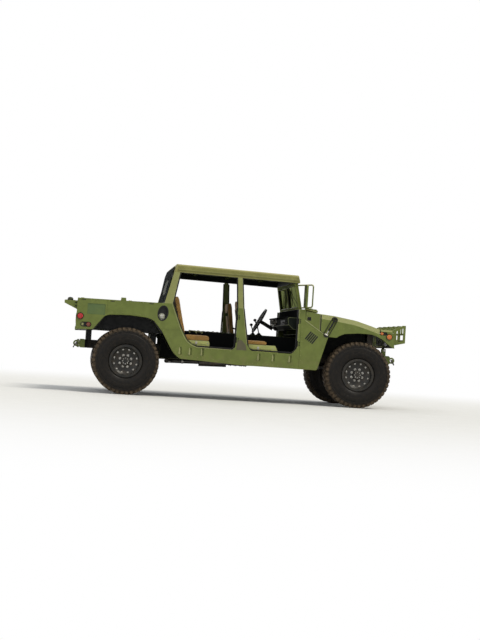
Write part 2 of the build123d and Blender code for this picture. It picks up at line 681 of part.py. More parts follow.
with BuildPart() as fuel_tank:
    block((-2120, -1860), (-300, 300), (460, 600))
    fillet(fuel_tank.edges().filter_by(Axis.Y), 30)
    for x in (-2060, -1920):
        block((x - 20, x + 20), (-RAIL_OUT, RAIL_OUT), (590, 606))
        for low_y, high_y in ((-RAIL_OUT, -RAIL_IN), (RAIL_IN, RAIL_OUT)):
            block((x - 20, x + 20), (low_y, high_y), (606, RAIL_LOW))

# Driveline
HOUSING_R, HOUSING_HALF = 118, 125
with BuildPart() as differentials:
    for axle in (AXLE_F, AXLE_R):
        with Locations((axle, 0, DIFF_Z)):
            Cylinder(HOUSING_R, 2 * HOUSING_HALF, rotation=(90, 0, 0))
        block((axle - 60, axle + 60), (-60, 60), (DIFF_Z + 80, DIFF_TOP))
    rod((AXLE_R, 0, DIFF_Z), (AXLE_R + 170, 0, DIFF_Z), 55)
    rod((AXLE_F, 0, DIFF_Z), (AXLE_F - 170, 0, DIFF_Z), 55)
with BuildPart() as propshafts:
    rod((AXLE_R + 170, 0, DIFF_Z), (-100, 0, DIFF_Z), 36)
    rod((160, 0, DIFF_Z), (AXLE_F - 170, 0, DIFF_Z), 30)
CV_R = 50
SHAFT_END = KINGPIN_Y - CV_R - 5
with BuildPart() as half_shafts:
    for axle in (AXLE_F, AXLE_R):
        rod((axle, HOUSING_HALF, DIFF_Z), (axle, SHAFT_END, DIFF_Z), 24)
    mirror(about=Plane.XZ)

EYE_R, EYE_BORE, PIN_R = 32, 21, 20


def wishbone(axle, pivot_z, ball_z, spread, leg):
    """One arm on the car's left: two legs from the frame to the eye on the kingpin."""
    reach = KINGPIN_Y - RAIL_OUT
    drop = ball_z - pivot_z
    slope = (reach**2 + drop**2) ** 0.5
    tilt = Plane(origin=(axle, RAIL_OUT, pivot_z - 20), x_dir=(1, 0, 0), z_dir=(0, -drop, reach))
    near = slope - EYE_BORE - 4
    with BuildSketch(tilt) as legs:
        with BuildLine():
            Polyline(
                (-spread - leg, 0), (-spread + leg, 0), (-5, slope - 90), (5, slope - 90),
                (spread - leg, 0), (spread + leg, 0), (EYE_R - 4, near), (4 - EYE_R, near), close=True,
            )
        make_face()
    extrude(legs.sketch, amount=40, dir=(0, 0, 1))
    with BuildSketch(Plane.XY.offset(ball_z - 24)) as eye:
        with Locations((axle, KINGPIN_Y)):
            Circle(EYE_R)
    extrude(eye.sketch, amount=46)
    with BuildSketch(Plane.XY.offset(ball_z - 60)) as bore:
        with Locations((axle, KINGPIN_Y)):
            Circle(EYE_BORE)
    extrude(bore.sketch, amount=120, mode=Mode.SUBTRACT)


with BuildPart() as lower_arms:
    for axle in (AXLE_F, AXLE_R):
        wishbone(axle, *ARMS[0])
        rod((axle + SPRING_X, SPRING_Y, 425), (axle + SPRING_X, SPRING_Y, SPRING_LOW), 45)
    mirror(about=Plane.XZ)
with BuildPart() as upper_arms:
    for axle in (AXLE_F, AXLE_R):
        wishbone(axle, *ARMS[1])
    mirror(about=Plane.XZ)

# Springs as corrugated sleeves around their dampers' rods
COILS, COIL_OUT, COIL_IN, DAMPER_R = 7, 40, 28, 16
COIL_PITCH = (SPRING_TOP - SPRING_LOW) / COILS


def flat_sided(profile, sides):
    """Turns a closed profile of (height, radius) points round Z in flat steps."""

    def corner(height, radius, step):
        turn = 2 * pi * (step - 0.5) / sides
        across = radius / cos(pi / sides)
        return (across * cos(turn), across * sin(turn), height)

    faces = []
    for step in range(sides):
        for start, end in zip(profile, profile[1:] + profile[:1]):
            near = (corner(*start, step), corner(*end, step))
            far = (corner(*end, step + 1), corner(*start, step + 1))
            faces.append(Face(Wire.make_polygon(near + far)))
    return Solid(Shell(faces))


coil_profile = [(0, DAMPER_R), (0, COIL_IN)]
for coil in range(COILS):
    coil_profile.append(((coil + 0.5) * COIL_PITCH, COIL_OUT))
    coil_profile.append(((coil + 1) * COIL_PITCH, COIL_IN))
coil_profile.append((SPRING_TOP - SPRING_LOW, DAMPER_R))
coil_spring = flat_sided(coil_profile, 16)
with BuildPart() as springs:
    with Locations(*[(axle + SPRING_X, SPRING_Y, SPRING_LOW) for axle in (AXLE_F, AXLE_R)]):
        add(coil_spring)
    mirror(about=Plane.XZ)


def hub_carrier(axle):
    """Geared hub housing on the car's left."""
    rod((axle, KINGPIN_Y, 366), (axle, KINGPIN_Y, 726), PIN_R)
    rod((axle, KINGPIN_Y, DIFF_Z - 90), (axle, KINGPIN_Y, DIFF_Z + 60), CV_R)
    rod((axle, KINGPIN_Y, 515), (axle, 900, 515), 60)
    rod((axle, 765, TYRE_R), (axle, 900, TYRE_R), 140)
    rod((axle, 900, TYRE_R), (axle, 925, TYRE_R), 45)


STEER_X = AXLE_F + STEER_ARM
STEER_Z = 492
with BuildPart() as knuckle_left:
    hub_carrier(AXLE_F)
    block((AXLE_F, STEER_X), (KINGPIN_Y - 18, KINGPIN_Y + 18), (445, 468))
    rod((AXLE_F, KINGPIN_Y, 445), (AXLE_F, KINGPIN_Y, 475), 30)
    rod((STEER_X, KINGPIN_Y, 445), (STEER_X, KINGPIN_Y, 468), 22)
    rod((STEER_X, KINGPIN_Y, 468), (STEER_X, KINGPIN_Y, 515), 9)
with BuildPart() as knuckle_right:
    mirror(knuckle_left.part, about=Plane.XZ)
with BuildPart() as rear_hubs:
    hub_carrier(AXLE_R)
    mirror(about=Plane.XZ)

with BuildPart() as track_rod:
    rod((STEER_X, -KINGPIN_Y + 15, STEER_Z), (STEER_X, KINGPIN_Y - 15, STEER_Z), 14)
    for y in (-KINGPIN_Y, KINGPIN_Y):
        with Locations((STEER_X, y, STEER_Z)):
            Cylinder(24, 36)
            Cylinder(10, 60, mode=Mode.SUBTRACT)

# Wheels: tyres with forty flats, so that they read as round and stay light
TYRE_PROFILE = [
    # offset from the wheel's middle, radius
    (-119, RIM_R), (-119, 232), (-147, 255), (-TYRE_HALF, 340), (-155, 400), (-141, 450), (-111, TYRE_R),
    (111, TYRE_R), (141, 450), (155, 400), (TYRE_HALF, 340), (147, 255), (119, 232), (119, RIM_R),
]
tyre_ring = flat_sided(TYRE_PROFILE, 40)


def rim(axle, y, side):
    """A rim whose disc is towards side, with the hub cap."""
    with BuildSketch(Plane(origin=(axle, y, TYRE_R), x_dir=(1, 0, 0), z_dir=(0, 0, 1))) as section:
        with BuildLine():
            Polyline(
                (0, side * 20), (0, side * 95), (60, side * 95), (70, side * 60), (120, side * 55),
                (165, side * 70), (190, side * 90), (196, side * 128), (RIM_R + 20, side * 128),
                (RIM_R + 20, side * 119), (RIM_R - 0.3, side * 119), (RIM_R - 0.3, -side * 119),
                (RIM_R + 20, -side * 119), (RIM_R + 20, -side * 128), (196, -side * 128),
                (192, side * 40), (150, side * 20), close=True,
            )
        make_face()
    revolve(section.sketch, axis=Axis((axle, y, TYRE_R), (0, 1, 0)))


CORNERS = (
    # name, axle, side
    ("front_left", AXLE_F, 1),
    ("front_right", AXLE_F, -1),
    ("rear_left", AXLE_R, 1),
    ("rear_right", AXLE_R, -1),
)
wheels = []
for name, axle, side in CORNERS:
    with BuildPart() as tyre_part:
        with Locations(Location((axle, side * HUB_Y, TYRE_R), (90, 0, 0))):
            add(tyre_ring)
    with BuildPart() as rim_part:
        rim(axle, side * HUB_Y, side)
    wheels.append(("tyre_" + name, tyre_part))
    wheels.append(("rim_" + name, rim_part))

nodes = [
    ("frame", frame),
    ("front_bumper", front_bumper),
    ("rear_bumper", rear_bumper),
    ("cab_floor", cab_floor),
    ("body_side_right", body_side_right),
    ("body_side_left", body_side_left),
    ("filler_cap", filler_cap),
    ("cowl", cowl),
    ("windshield_frame", windshield_frame),
    ("windshield_glass", windshield_glass),
    ("roof", roof),
    ("rear_curtain", rear_curtain),
    ("cargo_bed", cargo_bed),
    ("tailgate", tailgate),
    ("aerial_bracket", aerial_bracket),
    ("seat_boxes", seat_boxes),
    ("seat_cushions", seat_cushions),
    ("seat_backs", seat_backs),
    ("seat_frames", seat_frames),
    ("dashboard", dashboard),
    ("steering_column", steering_column),
    ("steering_wheel", steering_wheel),
    ("hood", hood),
    ("headlamps", headlamps),
    ("amber_lenses", amber_lenses),
    ("red_lenses", red_lenses),
    ("front_guard", front_guard),
    ("air_intake", air_intake),
    ("mirrors", mirrors),
    ("mirror_glass", mirror_glass),
    ("engine_block", engine_block),
    ("gearbox", gearbox),
    ("radiator", radiator),
    ("exhaust", exhaust),
    ("fuel_tank", fuel_tank),
    ("differentials", differentials),
    ("propshafts", propshafts),
    ("half_shafts", half_shafts),
    ("lower_arms", lower_arms),
    ("upper_arms", upper_arms),
    ("springs", springs),
    ("splash_panels", splash_panels),
    ("knuckle_left", knuckle_left),
    ("knuckle_right", knuckle_right),
    ("rear_hubs", rear_hubs),
    ("track_rod", track_rod),
] + wheels

for name, piece in nodes:
    placed = piece.part.moved(Location((CENTRE_SHIFT, 0, 0)))
    placed.label = name
    export_step(placed, f"parts/{name}.step")
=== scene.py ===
"""Finish and fine detail of an open army 4x4 car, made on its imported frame.

Lengths in the tables are millimetres from the ground below the middle of the
wheelbase: X forward, Y to the car's left, Z up. at() turns them into the frame's metres.
"""

import json
from itertools import product
from math import cos, pi, radians, sin, tau

import bmesh
import bpy
from mathutils import Matrix, Vector


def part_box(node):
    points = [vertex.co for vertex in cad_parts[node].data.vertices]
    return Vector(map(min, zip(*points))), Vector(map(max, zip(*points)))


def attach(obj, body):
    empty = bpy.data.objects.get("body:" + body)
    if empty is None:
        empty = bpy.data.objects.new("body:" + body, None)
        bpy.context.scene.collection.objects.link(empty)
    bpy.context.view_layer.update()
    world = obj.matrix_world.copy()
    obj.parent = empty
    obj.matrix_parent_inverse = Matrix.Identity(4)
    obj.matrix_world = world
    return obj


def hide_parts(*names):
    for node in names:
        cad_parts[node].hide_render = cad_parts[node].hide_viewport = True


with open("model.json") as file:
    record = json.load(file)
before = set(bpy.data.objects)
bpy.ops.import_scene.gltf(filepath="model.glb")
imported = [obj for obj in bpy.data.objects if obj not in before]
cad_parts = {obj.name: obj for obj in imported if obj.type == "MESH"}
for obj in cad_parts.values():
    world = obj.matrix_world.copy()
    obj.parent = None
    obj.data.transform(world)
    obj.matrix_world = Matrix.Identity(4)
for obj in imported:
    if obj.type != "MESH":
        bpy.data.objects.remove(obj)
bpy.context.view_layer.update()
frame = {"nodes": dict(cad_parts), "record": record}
nodes = frame["nodes"]

AXLE, BODY_HALF = 1651, 1080  # half the wheelbase, half the body's width
wheel_low, wheel_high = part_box("rim_front_left")
SHIFT = (wheel_low[0] + wheel_high[0]) / 2 - AXLE / 1000
AHEAD, LEFT, UP = (1, 0, 0), (0, 1, 0), (0, 0, 1)
BACK, RIGHT, DOWN = (-1, 0, 0), (0, -1, 0), (0, 0, -1)
SIDES = (("left", 1), ("right", -1))


def at(x, y, z):
    """A point of the drawing, in the frame's metres."""
    return Vector((x / 1000 + SHIFT, y / 1000, z / 1000))


def drawn(spot):
    """A point of the frame, as a drawing point."""
    return Vector(((spot.x - SHIFT) * 1000, spot.y * 1000, spot.z * 1000))


def show(name, data):
    """A new object in the scene."""
    made = bpy.data.objects.new(name, data)
    bpy.context.scene.collection.objects.link(made)
    return made


# Camera at the photograph's viewing angle
YAW, PITCH, ROLL = 0.10821, 0.02276, 0.06197
ahead = Vector((sin(YAW) * cos(PITCH), cos(YAW) * cos(PITCH), sin(PITCH)))
level = Vector((cos(YAW), -sin(YAW), 0))
upright = level.cross(ahead)
right = level * cos(ROLL) + upright * sin(ROLL)
up = upright * cos(ROLL) - level * sin(ROLL)
lens = bpy.data.cameras.new("photo_view")
lens.lens, lens.sensor_width, lens.clip_end = 85, 36, 200
camera = show("photo_view", lens)
turned = Matrix((right, up, -ahead)).transposed().to_4x4()
camera.matrix_world = Matrix.Translation(at(-2381.3, -22223.3, 660)) @ turned
bpy.context.scene.camera = camera
bpy.context.scene.view_settings.view_transform = "Standard"


class Graph:
    """Nodes of a material or a world, laid out call by call; a tuple is a colour."""

    def __init__(self, name, kind="materials"):
        self.made = getattr(bpy.data, kind).new(name)
        self.made.use_nodes = True
        self.tree = self.made.node_tree
        self.shader = self.tree.nodes.get("Principled BSDF")
        self.place = self.tree.nodes.new("ShaderNodeTexCoord").outputs["Object"]

    def join(self, value, socket):
        if isinstance(value, bpy.types.NodeSocket):
            self.tree.links.new(value, socket)
        else:
            socket.default_value = (*value, 1.0) if isinstance(value, tuple) else value

    def node(self, kind, output=0, settings=None, **inputs):
        """Adds a node, sets or links its inputs by name or i<number>, and returns an output."""
        made = self.tree.nodes.new("ShaderNode" + kind)
        for key, value in (settings or {}).items():
            setattr(made, key, value)
        for key, value in inputs.items():
            self.join(value, made.inputs[int(key[1:]) if key[1:].isdigit() else key])
        return made.outputs[output]

    def math(self, operation, a, b=0.0):
        return self.node("Math", settings={"operation": operation}, i0=a, i1=b)

    def times(self, total, *factors):
        for factor in factors:
            total = self.math("MULTIPLY", total, factor)
        return total

    def most(self, a, b):
        return self.math("MAXIMUM", a, b)

    def span(self, value, low, high, to_low=0.0, to_high=1.0):
        """value from low to high, mapped smoothly to another range."""
        smooth = {"interpolation_type": "SMOOTHSTEP"}
        return self.node("MapRange", 0, smooth, i0=value, i1=low, i2=high, i3=to_low, i4=to_high)

    def noise(self, scale, detail):
        return self.node("TexNoise", Vector=self.place, Scale=scale, Detail=detail)

    def cloud(self, scale, detail, low, high, to_low=0.0, to_high=1.0):
        """Noise from low to high, mapped smoothly to another range."""
        return self.span(self.noise(scale, detail), low, high, to_low, to_high)

    def along(self, axis):
        """Place along an axis, in metres."""
        return self.node("SeparateXYZ", axis, i0=self.place)

    def facing(self, axis):
        """How far the surface faces along an axis."""
        return self.node("SeparateXYZ", axis, i0=self.node("NewGeometry", "Normal"))

    def outward(self):
        """How far the surface faces away from the car's middle plane."""
        return self.times(self.facing("Y"), self.math("SIGN", self.along("Y")))

    def seen(self):
        """1 for what the camera sees, also in a mirror or through a pane, and 0 for light."""
        camera, glossy, through = (
            self.node("LightPath", f"Is {ray} Ray") for ray in ("Camera", "Glossy", "Transmission")
        )
        return self.most(camera, self.most(glossy, through))

    def mix(self, share, a, b, blend="MIX"):
        """Colour a turning into colour b."""
        kind = {"data_type": "RGBA", "blend_type": blend}
        return self.node("Mix", 2, kind, i0=share, i6=a, i7=b)

    def bump(self, value, depth, under=None):
        """Bump of a depth in metres, over an earlier one."""
        extra = {"Normal": under} if under else {}
        return self.node("Bump", Height=value, Distance=depth, Strength=1.0, **extra)

    def finish(self, colour, rough, normal=None, **fixed):
        self.join(colour, self.shader.inputs["Base Color"])
        self.join(rough, self.shader.inputs["Roughness"])
        if normal:
            self.join(normal, self.shader.inputs["Normal"])
        for key, value in fixed.items():
            self.shader.inputs[key.replace("_", " ")].default_value = value
        return self.made


DUST = (0.21, 0.15, 0.085)


def toned(colour, factor, lift=0.0):
    return tuple(part * factor + lift for part in colour)


def undercoat_and_shade(g, base):
    """Black undercoat below and inside the wheel arches, where a panel faces the road; the black
    there is also painted shade.
    """
    # The arches' end walls stand before x 1.95 and behind x -2.11, further out than 0.63 metres
    x, z, half = g.along("X"), g.along("Z"), g.math("ABSOLUTE", g.along("Y"))
    across, upward = g.facing("X"), g.facing("Z")
    ahead = g.times(g.span(across, 0.5, 0.7), g.span(x, 1.96, 1.94))
    behind = g.times(g.span(across, -0.5, -0.7), g.span(x, -2.12, -2.1))
    inner = g.times(g.most(ahead, behind), g.span(half, 0.62, 0.64))
    walls = g.times(g.most(g.span(g.outward(), 0.2, 0.45), inner), g.span(upward, 0.15, 0.05))
    facing = g.most(walls, g.span(upward, -0.2, -0.5))
    where = g.times(g.span(half, 1.048, 1.042), g.span(z, 1.15, 1.13))
    return g.mix(g.times(facing, where), base, (0.012, 0.013, 0.013))


def shaded_underside(g, base):
    """Black painted shade where the roof faces down or inward."""
    down, inward = g.span(g.facing("Z"), -0.2, -0.45), g.span(g.outward(), -0.15, -0.4)
    back = g.times(g.span(g.facing("X"), -0.15, -0.4), g.span(g.along("X"), 0.4, 0.5))
    return g.mix(g.most(g.most(down, inward), back), base, (0.010, 0.013, 0.012))


def bluer_patch(g, base):
    """A darker, bluer patch inside the pressing of the quarter panel."""
    along = g.math("ABSOLUTE", g.math("SUBTRACT", g.along("X"), -2.103 + SHIFT))
    high = g.math("ABSOLUTE", g.math("SUBTRACT", g.along("Z"), 1.168))
    inside = g.times(g.span(along, 0.127, 0.121), g.span(high, 0.0775, 0.072))
    return g.mix(g.times(inside, g.cloud(6, 5, 0.3, 0.7, 0.55, 0.85)), base, (0.075, 0.125, 0.048))


def paint(
    name, colour, faded, rough=0.5, dust_top=0.75, dust_share=0.5, sunlit=None, gloss=0.3,
    coats=(),
):
    """Satin paint: uneven colour, painted sunlight where it faces the sky, dusty low down, orange
    peel.
    """
    g = Graph(name)
    base = g.mix(g.times(g.cloud(1.7, 5, 0.35, 0.68), 0.35), colour, faded)
    base = g.mix(1.0, base, g.cloud(9, 6, 0.3, 0.75, 0.88, 1.1), "MULTIPLY")
    # Surfaces that face up turn lighter: painted sunlight
    low_tilt, share = (0.06, 0.85) if sunlit else (0.35, 0.55)
    painted_sunlight = g.times(g.span(g.facing("Z"), low_tilt, low_tilt + 0.3), share)
    base = g.mix(painted_sunlight, base, sunlit or faded)
    low = g.times(g.span(g.along("Z"), dust_top, 0.35), g.cloud(14, 8, 0.38, 0.7))
    base = g.mix(g.times(low, dust_share), base, DUST)
    for coat in coats:
        base = coat(g, base)
    rough_map = g.cloud(22, 6, 0.3, 0.7, rough - 0.07, rough + 0.1)
    waves = g.bump(g.noise(5, 2), 0.0012, g.bump(g.noise(420, 2), 0.00012))
    return g.finish(base, rough_map, waves, Specular_IOR_Level=gloss)


def metal(name, colour, rough, metallic=0.9, grain=60, grit=0.0004):
    """Bare or cast metal with stains and a grain."""
    g = Graph(name)
    base = g.mix(g.times(g.cloud(12, 8, 0.35, 0.7), 0.6), colour, toned(colour, 0.55))
    base = g.mix(g.times(g.cloud(7, 6, 0.45, 0.75), 0.35), base, DUST)
    rough_map = g.cloud(30, 5, 0.3, 0.7, rough - 0.08, rough + 0.14)
    return g.finish(base, rough_map, g.bump(g.noise(grain, 6), grit), Metallic=metallic)


def rubber(name, colour, dust_share, rough=0.38):
    """Dusty tyre rubber: brown on the outer lugs, dark and a little shiny on the walls."""
    g = Graph(name)
    squares = (g.math("POWER", g.along(axis), 2.0) for axis in "XZ")
    on_lugs = g.span(g.math("SQRT", g.math("ADD", *squares)), 0.405, 0.45)
    grime = g.cloud(26, 8, 0.3, 0.72)
    base = g.mix(g.times(grime, 0.25), colour, (0.036, 0.027, 0.018))
    share = g.times(on_lugs, g.span(grime, 0.0, 1.0, 0.35, 1.0), dust_share)
    base = g.mix(share, base, (0.135, 0.098, 0.062))
    walls = g.span(grime, 0.0, 1.0, rough - 0.08, rough + 0.12)
    rough_map = g.math("ADD", walls, g.times(on_lugs, 0.3))
    return g.finish(base, rough_map, g.bump(g.noise(240, 5), 0.0003), Specular_IOR_Level=0.14)


def cloth(name, colour, shade, thread=0.0022, sheen=0.25, gloss=0.3):
    """Canvas: a plain weave of crossing threads, with worn and soiled patches."""
    g = Graph(name)
    base = g.mix(g.cloud(6, 6, 0.32, 0.7), colour, shade)
    x, y, z = (g.math("SINE", g.times(g.along(axis), tau / thread)) for axis in "XYZ")
    weave = g.times(g.math("ADD", x, z), y)
    base = g.mix(1.0, base, g.span(weave, -1.5, 1.5, 0.86, 1.1), "MULTIPLY")
    folds = g.bump(weave, 0.0004, g.bump(g.noise(18, 4), 0.003))
    return g.finish(
        base, 0.9, folds, Sheen_Weight=sheen, Sheen_Roughness=0.5, Specular_IOR_Level=gloss
    )


def plastic(name, colour):
    """Moulded plastic with a fine leather-like grain."""
    g = Graph(name)
    base = g.mix(g.cloud(15, 5, 0.35, 0.7), colour, toned(colour, 1.5, 0.004))
    grain = g.node("TexVoronoi", "Distance", Vector=g.place, Scale=420)
    rough_map = g.cloud(24, 4, 0.3, 0.7, 0.39, 0.57)
    return g.finish(base, rough_map, g.bump(grain, 0.0002), Specular_IOR_Level=0.16)


def lens_glass(name, colour, flute, through):
    """Moulded lamp lens with flutes that run up and down."""
    g = Graph(name)
    across = g.math("ADD", g.along("X"), g.along("Y"))
    flutes = g.bump(g.math("SINE", g.times(across, tau / flute)), 0.0006)
    tint = g.mix(g.cloud(40, 3, 0.3, 0.7), colour, toned(colour, 0.8))
    return g.finish(tint, 0.16, flutes, Transmission_Weight=through, IOR=1.49)


def window_glass(name):
    """Panes tinted green as painted sunlit greenery seen through them, with a thin film of dust."""
    g = Graph(name)
    tint = g.mix(g.cloud(2, 5, 0.4, 0.7), (0.135, 0.16, 0.055), (0.10, 0.125, 0.04))
    film = g.cloud(3, 7, 0.35, 0.75, 0.02, 0.07)
    return g.finish(tint, film, Transmission_Weight=0.9, IOR=1.003)


OLIVE = (0.122, 0.154, 0.032), (0.16, 0.19, 0.048)  # new, faded
OLIVE_SUNLIT_TOP, HOOD_SUNLIT_TOP = (0.40, 0.375, 0.165), (0.27, 0.28, 0.105)  # painted sunlight on surfaces that face up
MATERIALS = {
    # record slot: material
    "olive_paint": paint("olive_paint", *OLIVE, sunlit=OLIVE_SUNLIT_TOP),
    # Much darker than the outside olive: painted shade inside the cab
    "cab_paint": paint(
        "cab_paint", (0.04, 0.054, 0.018), (0.075, 0.09, 0.034), 0.75, 0.62, 0.4, gloss=0.0,
        coats=(undercoat_and_shade,),
    ),
    "black_paint": paint(
        "black_paint", (0.012, 0.012, 0.011), (0.026, 0.025, 0.021), 0.5, 0.9, 0.3, gloss=0.12
    ),
    "dark_metal": metal("dark_metal", (0.10, 0.095, 0.09), 0.5),
    "clear_glass": window_glass("clear_glass"),
    "lamp_glass": lens_glass("lamp_glass", (0.86, 0.89, 0.90), 0.009, 0.6),
    # Near black: painted shade on the rear curtain's canvas and hems
    "curtain_canvas": cloth(
        "curtain_canvas", (0.010, 0.014, 0.016), (0.019, 0.022, 0.023), sheen=0.02, gloss=0.02
    ),
    "tan_canvas": cloth("tan_canvas", (0.38, 0.215, 0.058), (0.27, 0.15, 0.042)),
    "black_plastic": plastic("black_plastic", (0.012, 0.012, 0.012)),
    "amber_lens": lens_glass("amber_lens", (0.88, 0.25, 0.045), 0.005, 0.3),
    "red_lens": lens_glass("red_lens", (0.62, 0.012, 0.010), 0.005, 0.25),
    "mirror_face": metal("mirror_face", (0.86, 0.88, 0.89), 0.08, 1.0, 10, 0.00002),
    "cast_metal": metal("cast_metal", (0.10, 0.10, 0.095), 0.62, 0.6, 160, 0.0012),
    "spring_steel": paint("spring_steel", (0.02, 0.02, 0.02), (0.045, 0.04, 0.036), 0.4, 0.9, 0.3),
    "tyre_rubber": rubber("tyre_rubber", (0.008, 0.0075, 0.007), 0.75),
    "rim_paint": paint("rim_paint", (0.010, 0.010, 0.009), (0.028, 0.027, 0.023), 0.3, 0.1, 0.1),
}
# Lighter olive: worn paint, and a painted highlight on edges and fittings that catch the light
WORN_AND_LIT = paint("olive_worn_and_lit_edge", (0.27, 0.285, 0.12), (0.33, 0.33, 0.16), 0.45)
EDGE = {
    # worn edges of the painted slots, lighter also as a painted highlight
    "olive_paint": WORN_AND_LIT,
    # Worn edges inside the cab: lighter as a painted highlight, darker than outside as painted
    # shade
    "cab_paint": paint("cab_edge", (0.09, 0.105, 0.04), (0.13, 0.14, 0.07), 0.5),
}
OWN_FINISH = {
    # CAD nodes whose finish differs from their slot's
    # Much lighter than the body's olive: painted sunlight on the seat boxes and their panels
    "seat_boxes": paint("seat_box_sunlit_paint", (0.40, 0.43, 0.14), (0.46, 0.47, 0.18), 0.5),
    # Near black: painted shade on the dashboard
    "dashboard": paint("dash_shaded_paint", (0.010, 0.013, 0.011), (0.02, 0.023, 0.018), 0.7, gloss=0.02),
    "roof": paint(
        "roof_paint", (0.225, 0.222, 0.075), (0.29, 0.265, 0.105), 0.6, sunlit=OLIVE_SUNLIT_TOP,
        gloss=0.1, coats=(shaded_underside,),
    ),
    "windshield_frame": paint("windshield_paint", *OLIVE, 0.7, sunlit=OLIVE_SUNLIT_TOP, gloss=0.03),
}
# Outer panels: painted sunlight on top, black undercoat with painted shade below, a bluer patch on
# the quarter panels
for name, top, coats in (
    ("cargo_bed", OLIVE_SUNLIT_TOP, ()), ("hood", HOOD_SUNLIT_TOP, ()), ("cowl", OLIVE_SUNLIT_TOP, ()),
    ("body_side_right", OLIVE_SUNLIT_TOP, (bluer_patch,)), ("body_side_left", OLIVE_SUNLIT_TOP, (bluer_patch,)),
):
    OWN_FINISH[name] = paint(name + "_paint", *OLIVE, sunlit=top, coats=(undercoat_and_shade, *coats))
BOLT = metal("zinc_bolt", (0.42, 0.41, 0.38), 0.35, 1.0, 90, 0.0001)

SLOTS = {part["node"]: part["material_slot"] for part in frame["record"]["subparts"]}
BEVELS = {
    # node: edge radius in millimetres, where it isn't 3
    "body_side_right": 2.5, "body_side_left": 2.5, "hood": 3.5, "roof": 4, "tailgate": 2,
    "rim_front_left": 1, "rim_front_right": 1, "rim_rear_left": 1, "rim_rear_right": 1,
    "mirror_glass": 0.5, "windshield_glass": 0.5, "front_guard": 2, "mirrors": 1, "track_rod": 1,
    "splash_panels": 1, "seat_boxes": 5, "dashboard": 6, "fuel_tank": 4, "cargo_bed": 2,
    "half_shafts": 1, "propshafts": 1,
}


def bevel_edges(piece, width, angle):
    """Rounds a piece's edges above an angle in degrees, by a width in millimetres."""
    edge = piece.modifiers.new("edge", "BEVEL")
    edge.width, edge.segments = width / 1000, 2
    edge.limit_method, edge.angle_limit = "ANGLE", radians(angle)
    edge.harden_normals = True
    return edge


def dress(name):
    """Gives a CAD node its material, worn edges with a painted highlight, a soft outline and smooth
    shading.
    """
    piece, slot = nodes[name], SLOTS[name]
    piece.data.materials.clear()
    piece.data.materials.append(OWN_FINISH.get(name, MATERIALS[slot]))
    for face in piece.data.polygons:
        face.use_smooth, face.material_index = True, 0
    piece.modifiers.new("weld", "WELD").merge_threshold = 0.00005
    flat = piece.modifiers.new("flat", "DECIMATE")
    flat.decimate_type, flat.angle_limit = "DISSOLVE", radians(0.4)
    edge = bevel_edges(piece, BEVELS.get(name, 3), 32)
    if slot in EDGE:
        piece.data.materials.append(EDGE[slot])
        edge.material = 1
    piece.modifiers.new("normals", "WEIGHTED_NORMAL").keep_sharp = True


for name in nodes:
    dress(name)


def around(count, start=0.0):
    """Evenly spaced angles round a circle, the first a share of one step on."""
    return [(k + start) * tau / count for k in range(count)]


def circle(middle, radius, side, other, count, start=0.0):
    """Points round middle, from the direction side towards the direction other."""
    middle, side, other = Vector(middle), Vector(side), Vector(other)
    turns = around(count, start)
    return [middle + radius * (cos(turn) * side + sin(turn) * other) for turn in turns]


def about(middle, reach):
    """A (low, high) pair, as far from its middle on both sides."""
    return (middle - reach, middle + reach)


def rectangle(a, b):
    """Corners from two (low, high) pairs."""
    return [(a[0], b[0]), (a[1], b[0]), (a[1], b[1]), (a[0], b[1])]


def signed(side, low, high):
    """A (low, high) pair on one side of the car."""
    return sorted((side * low, side * high))


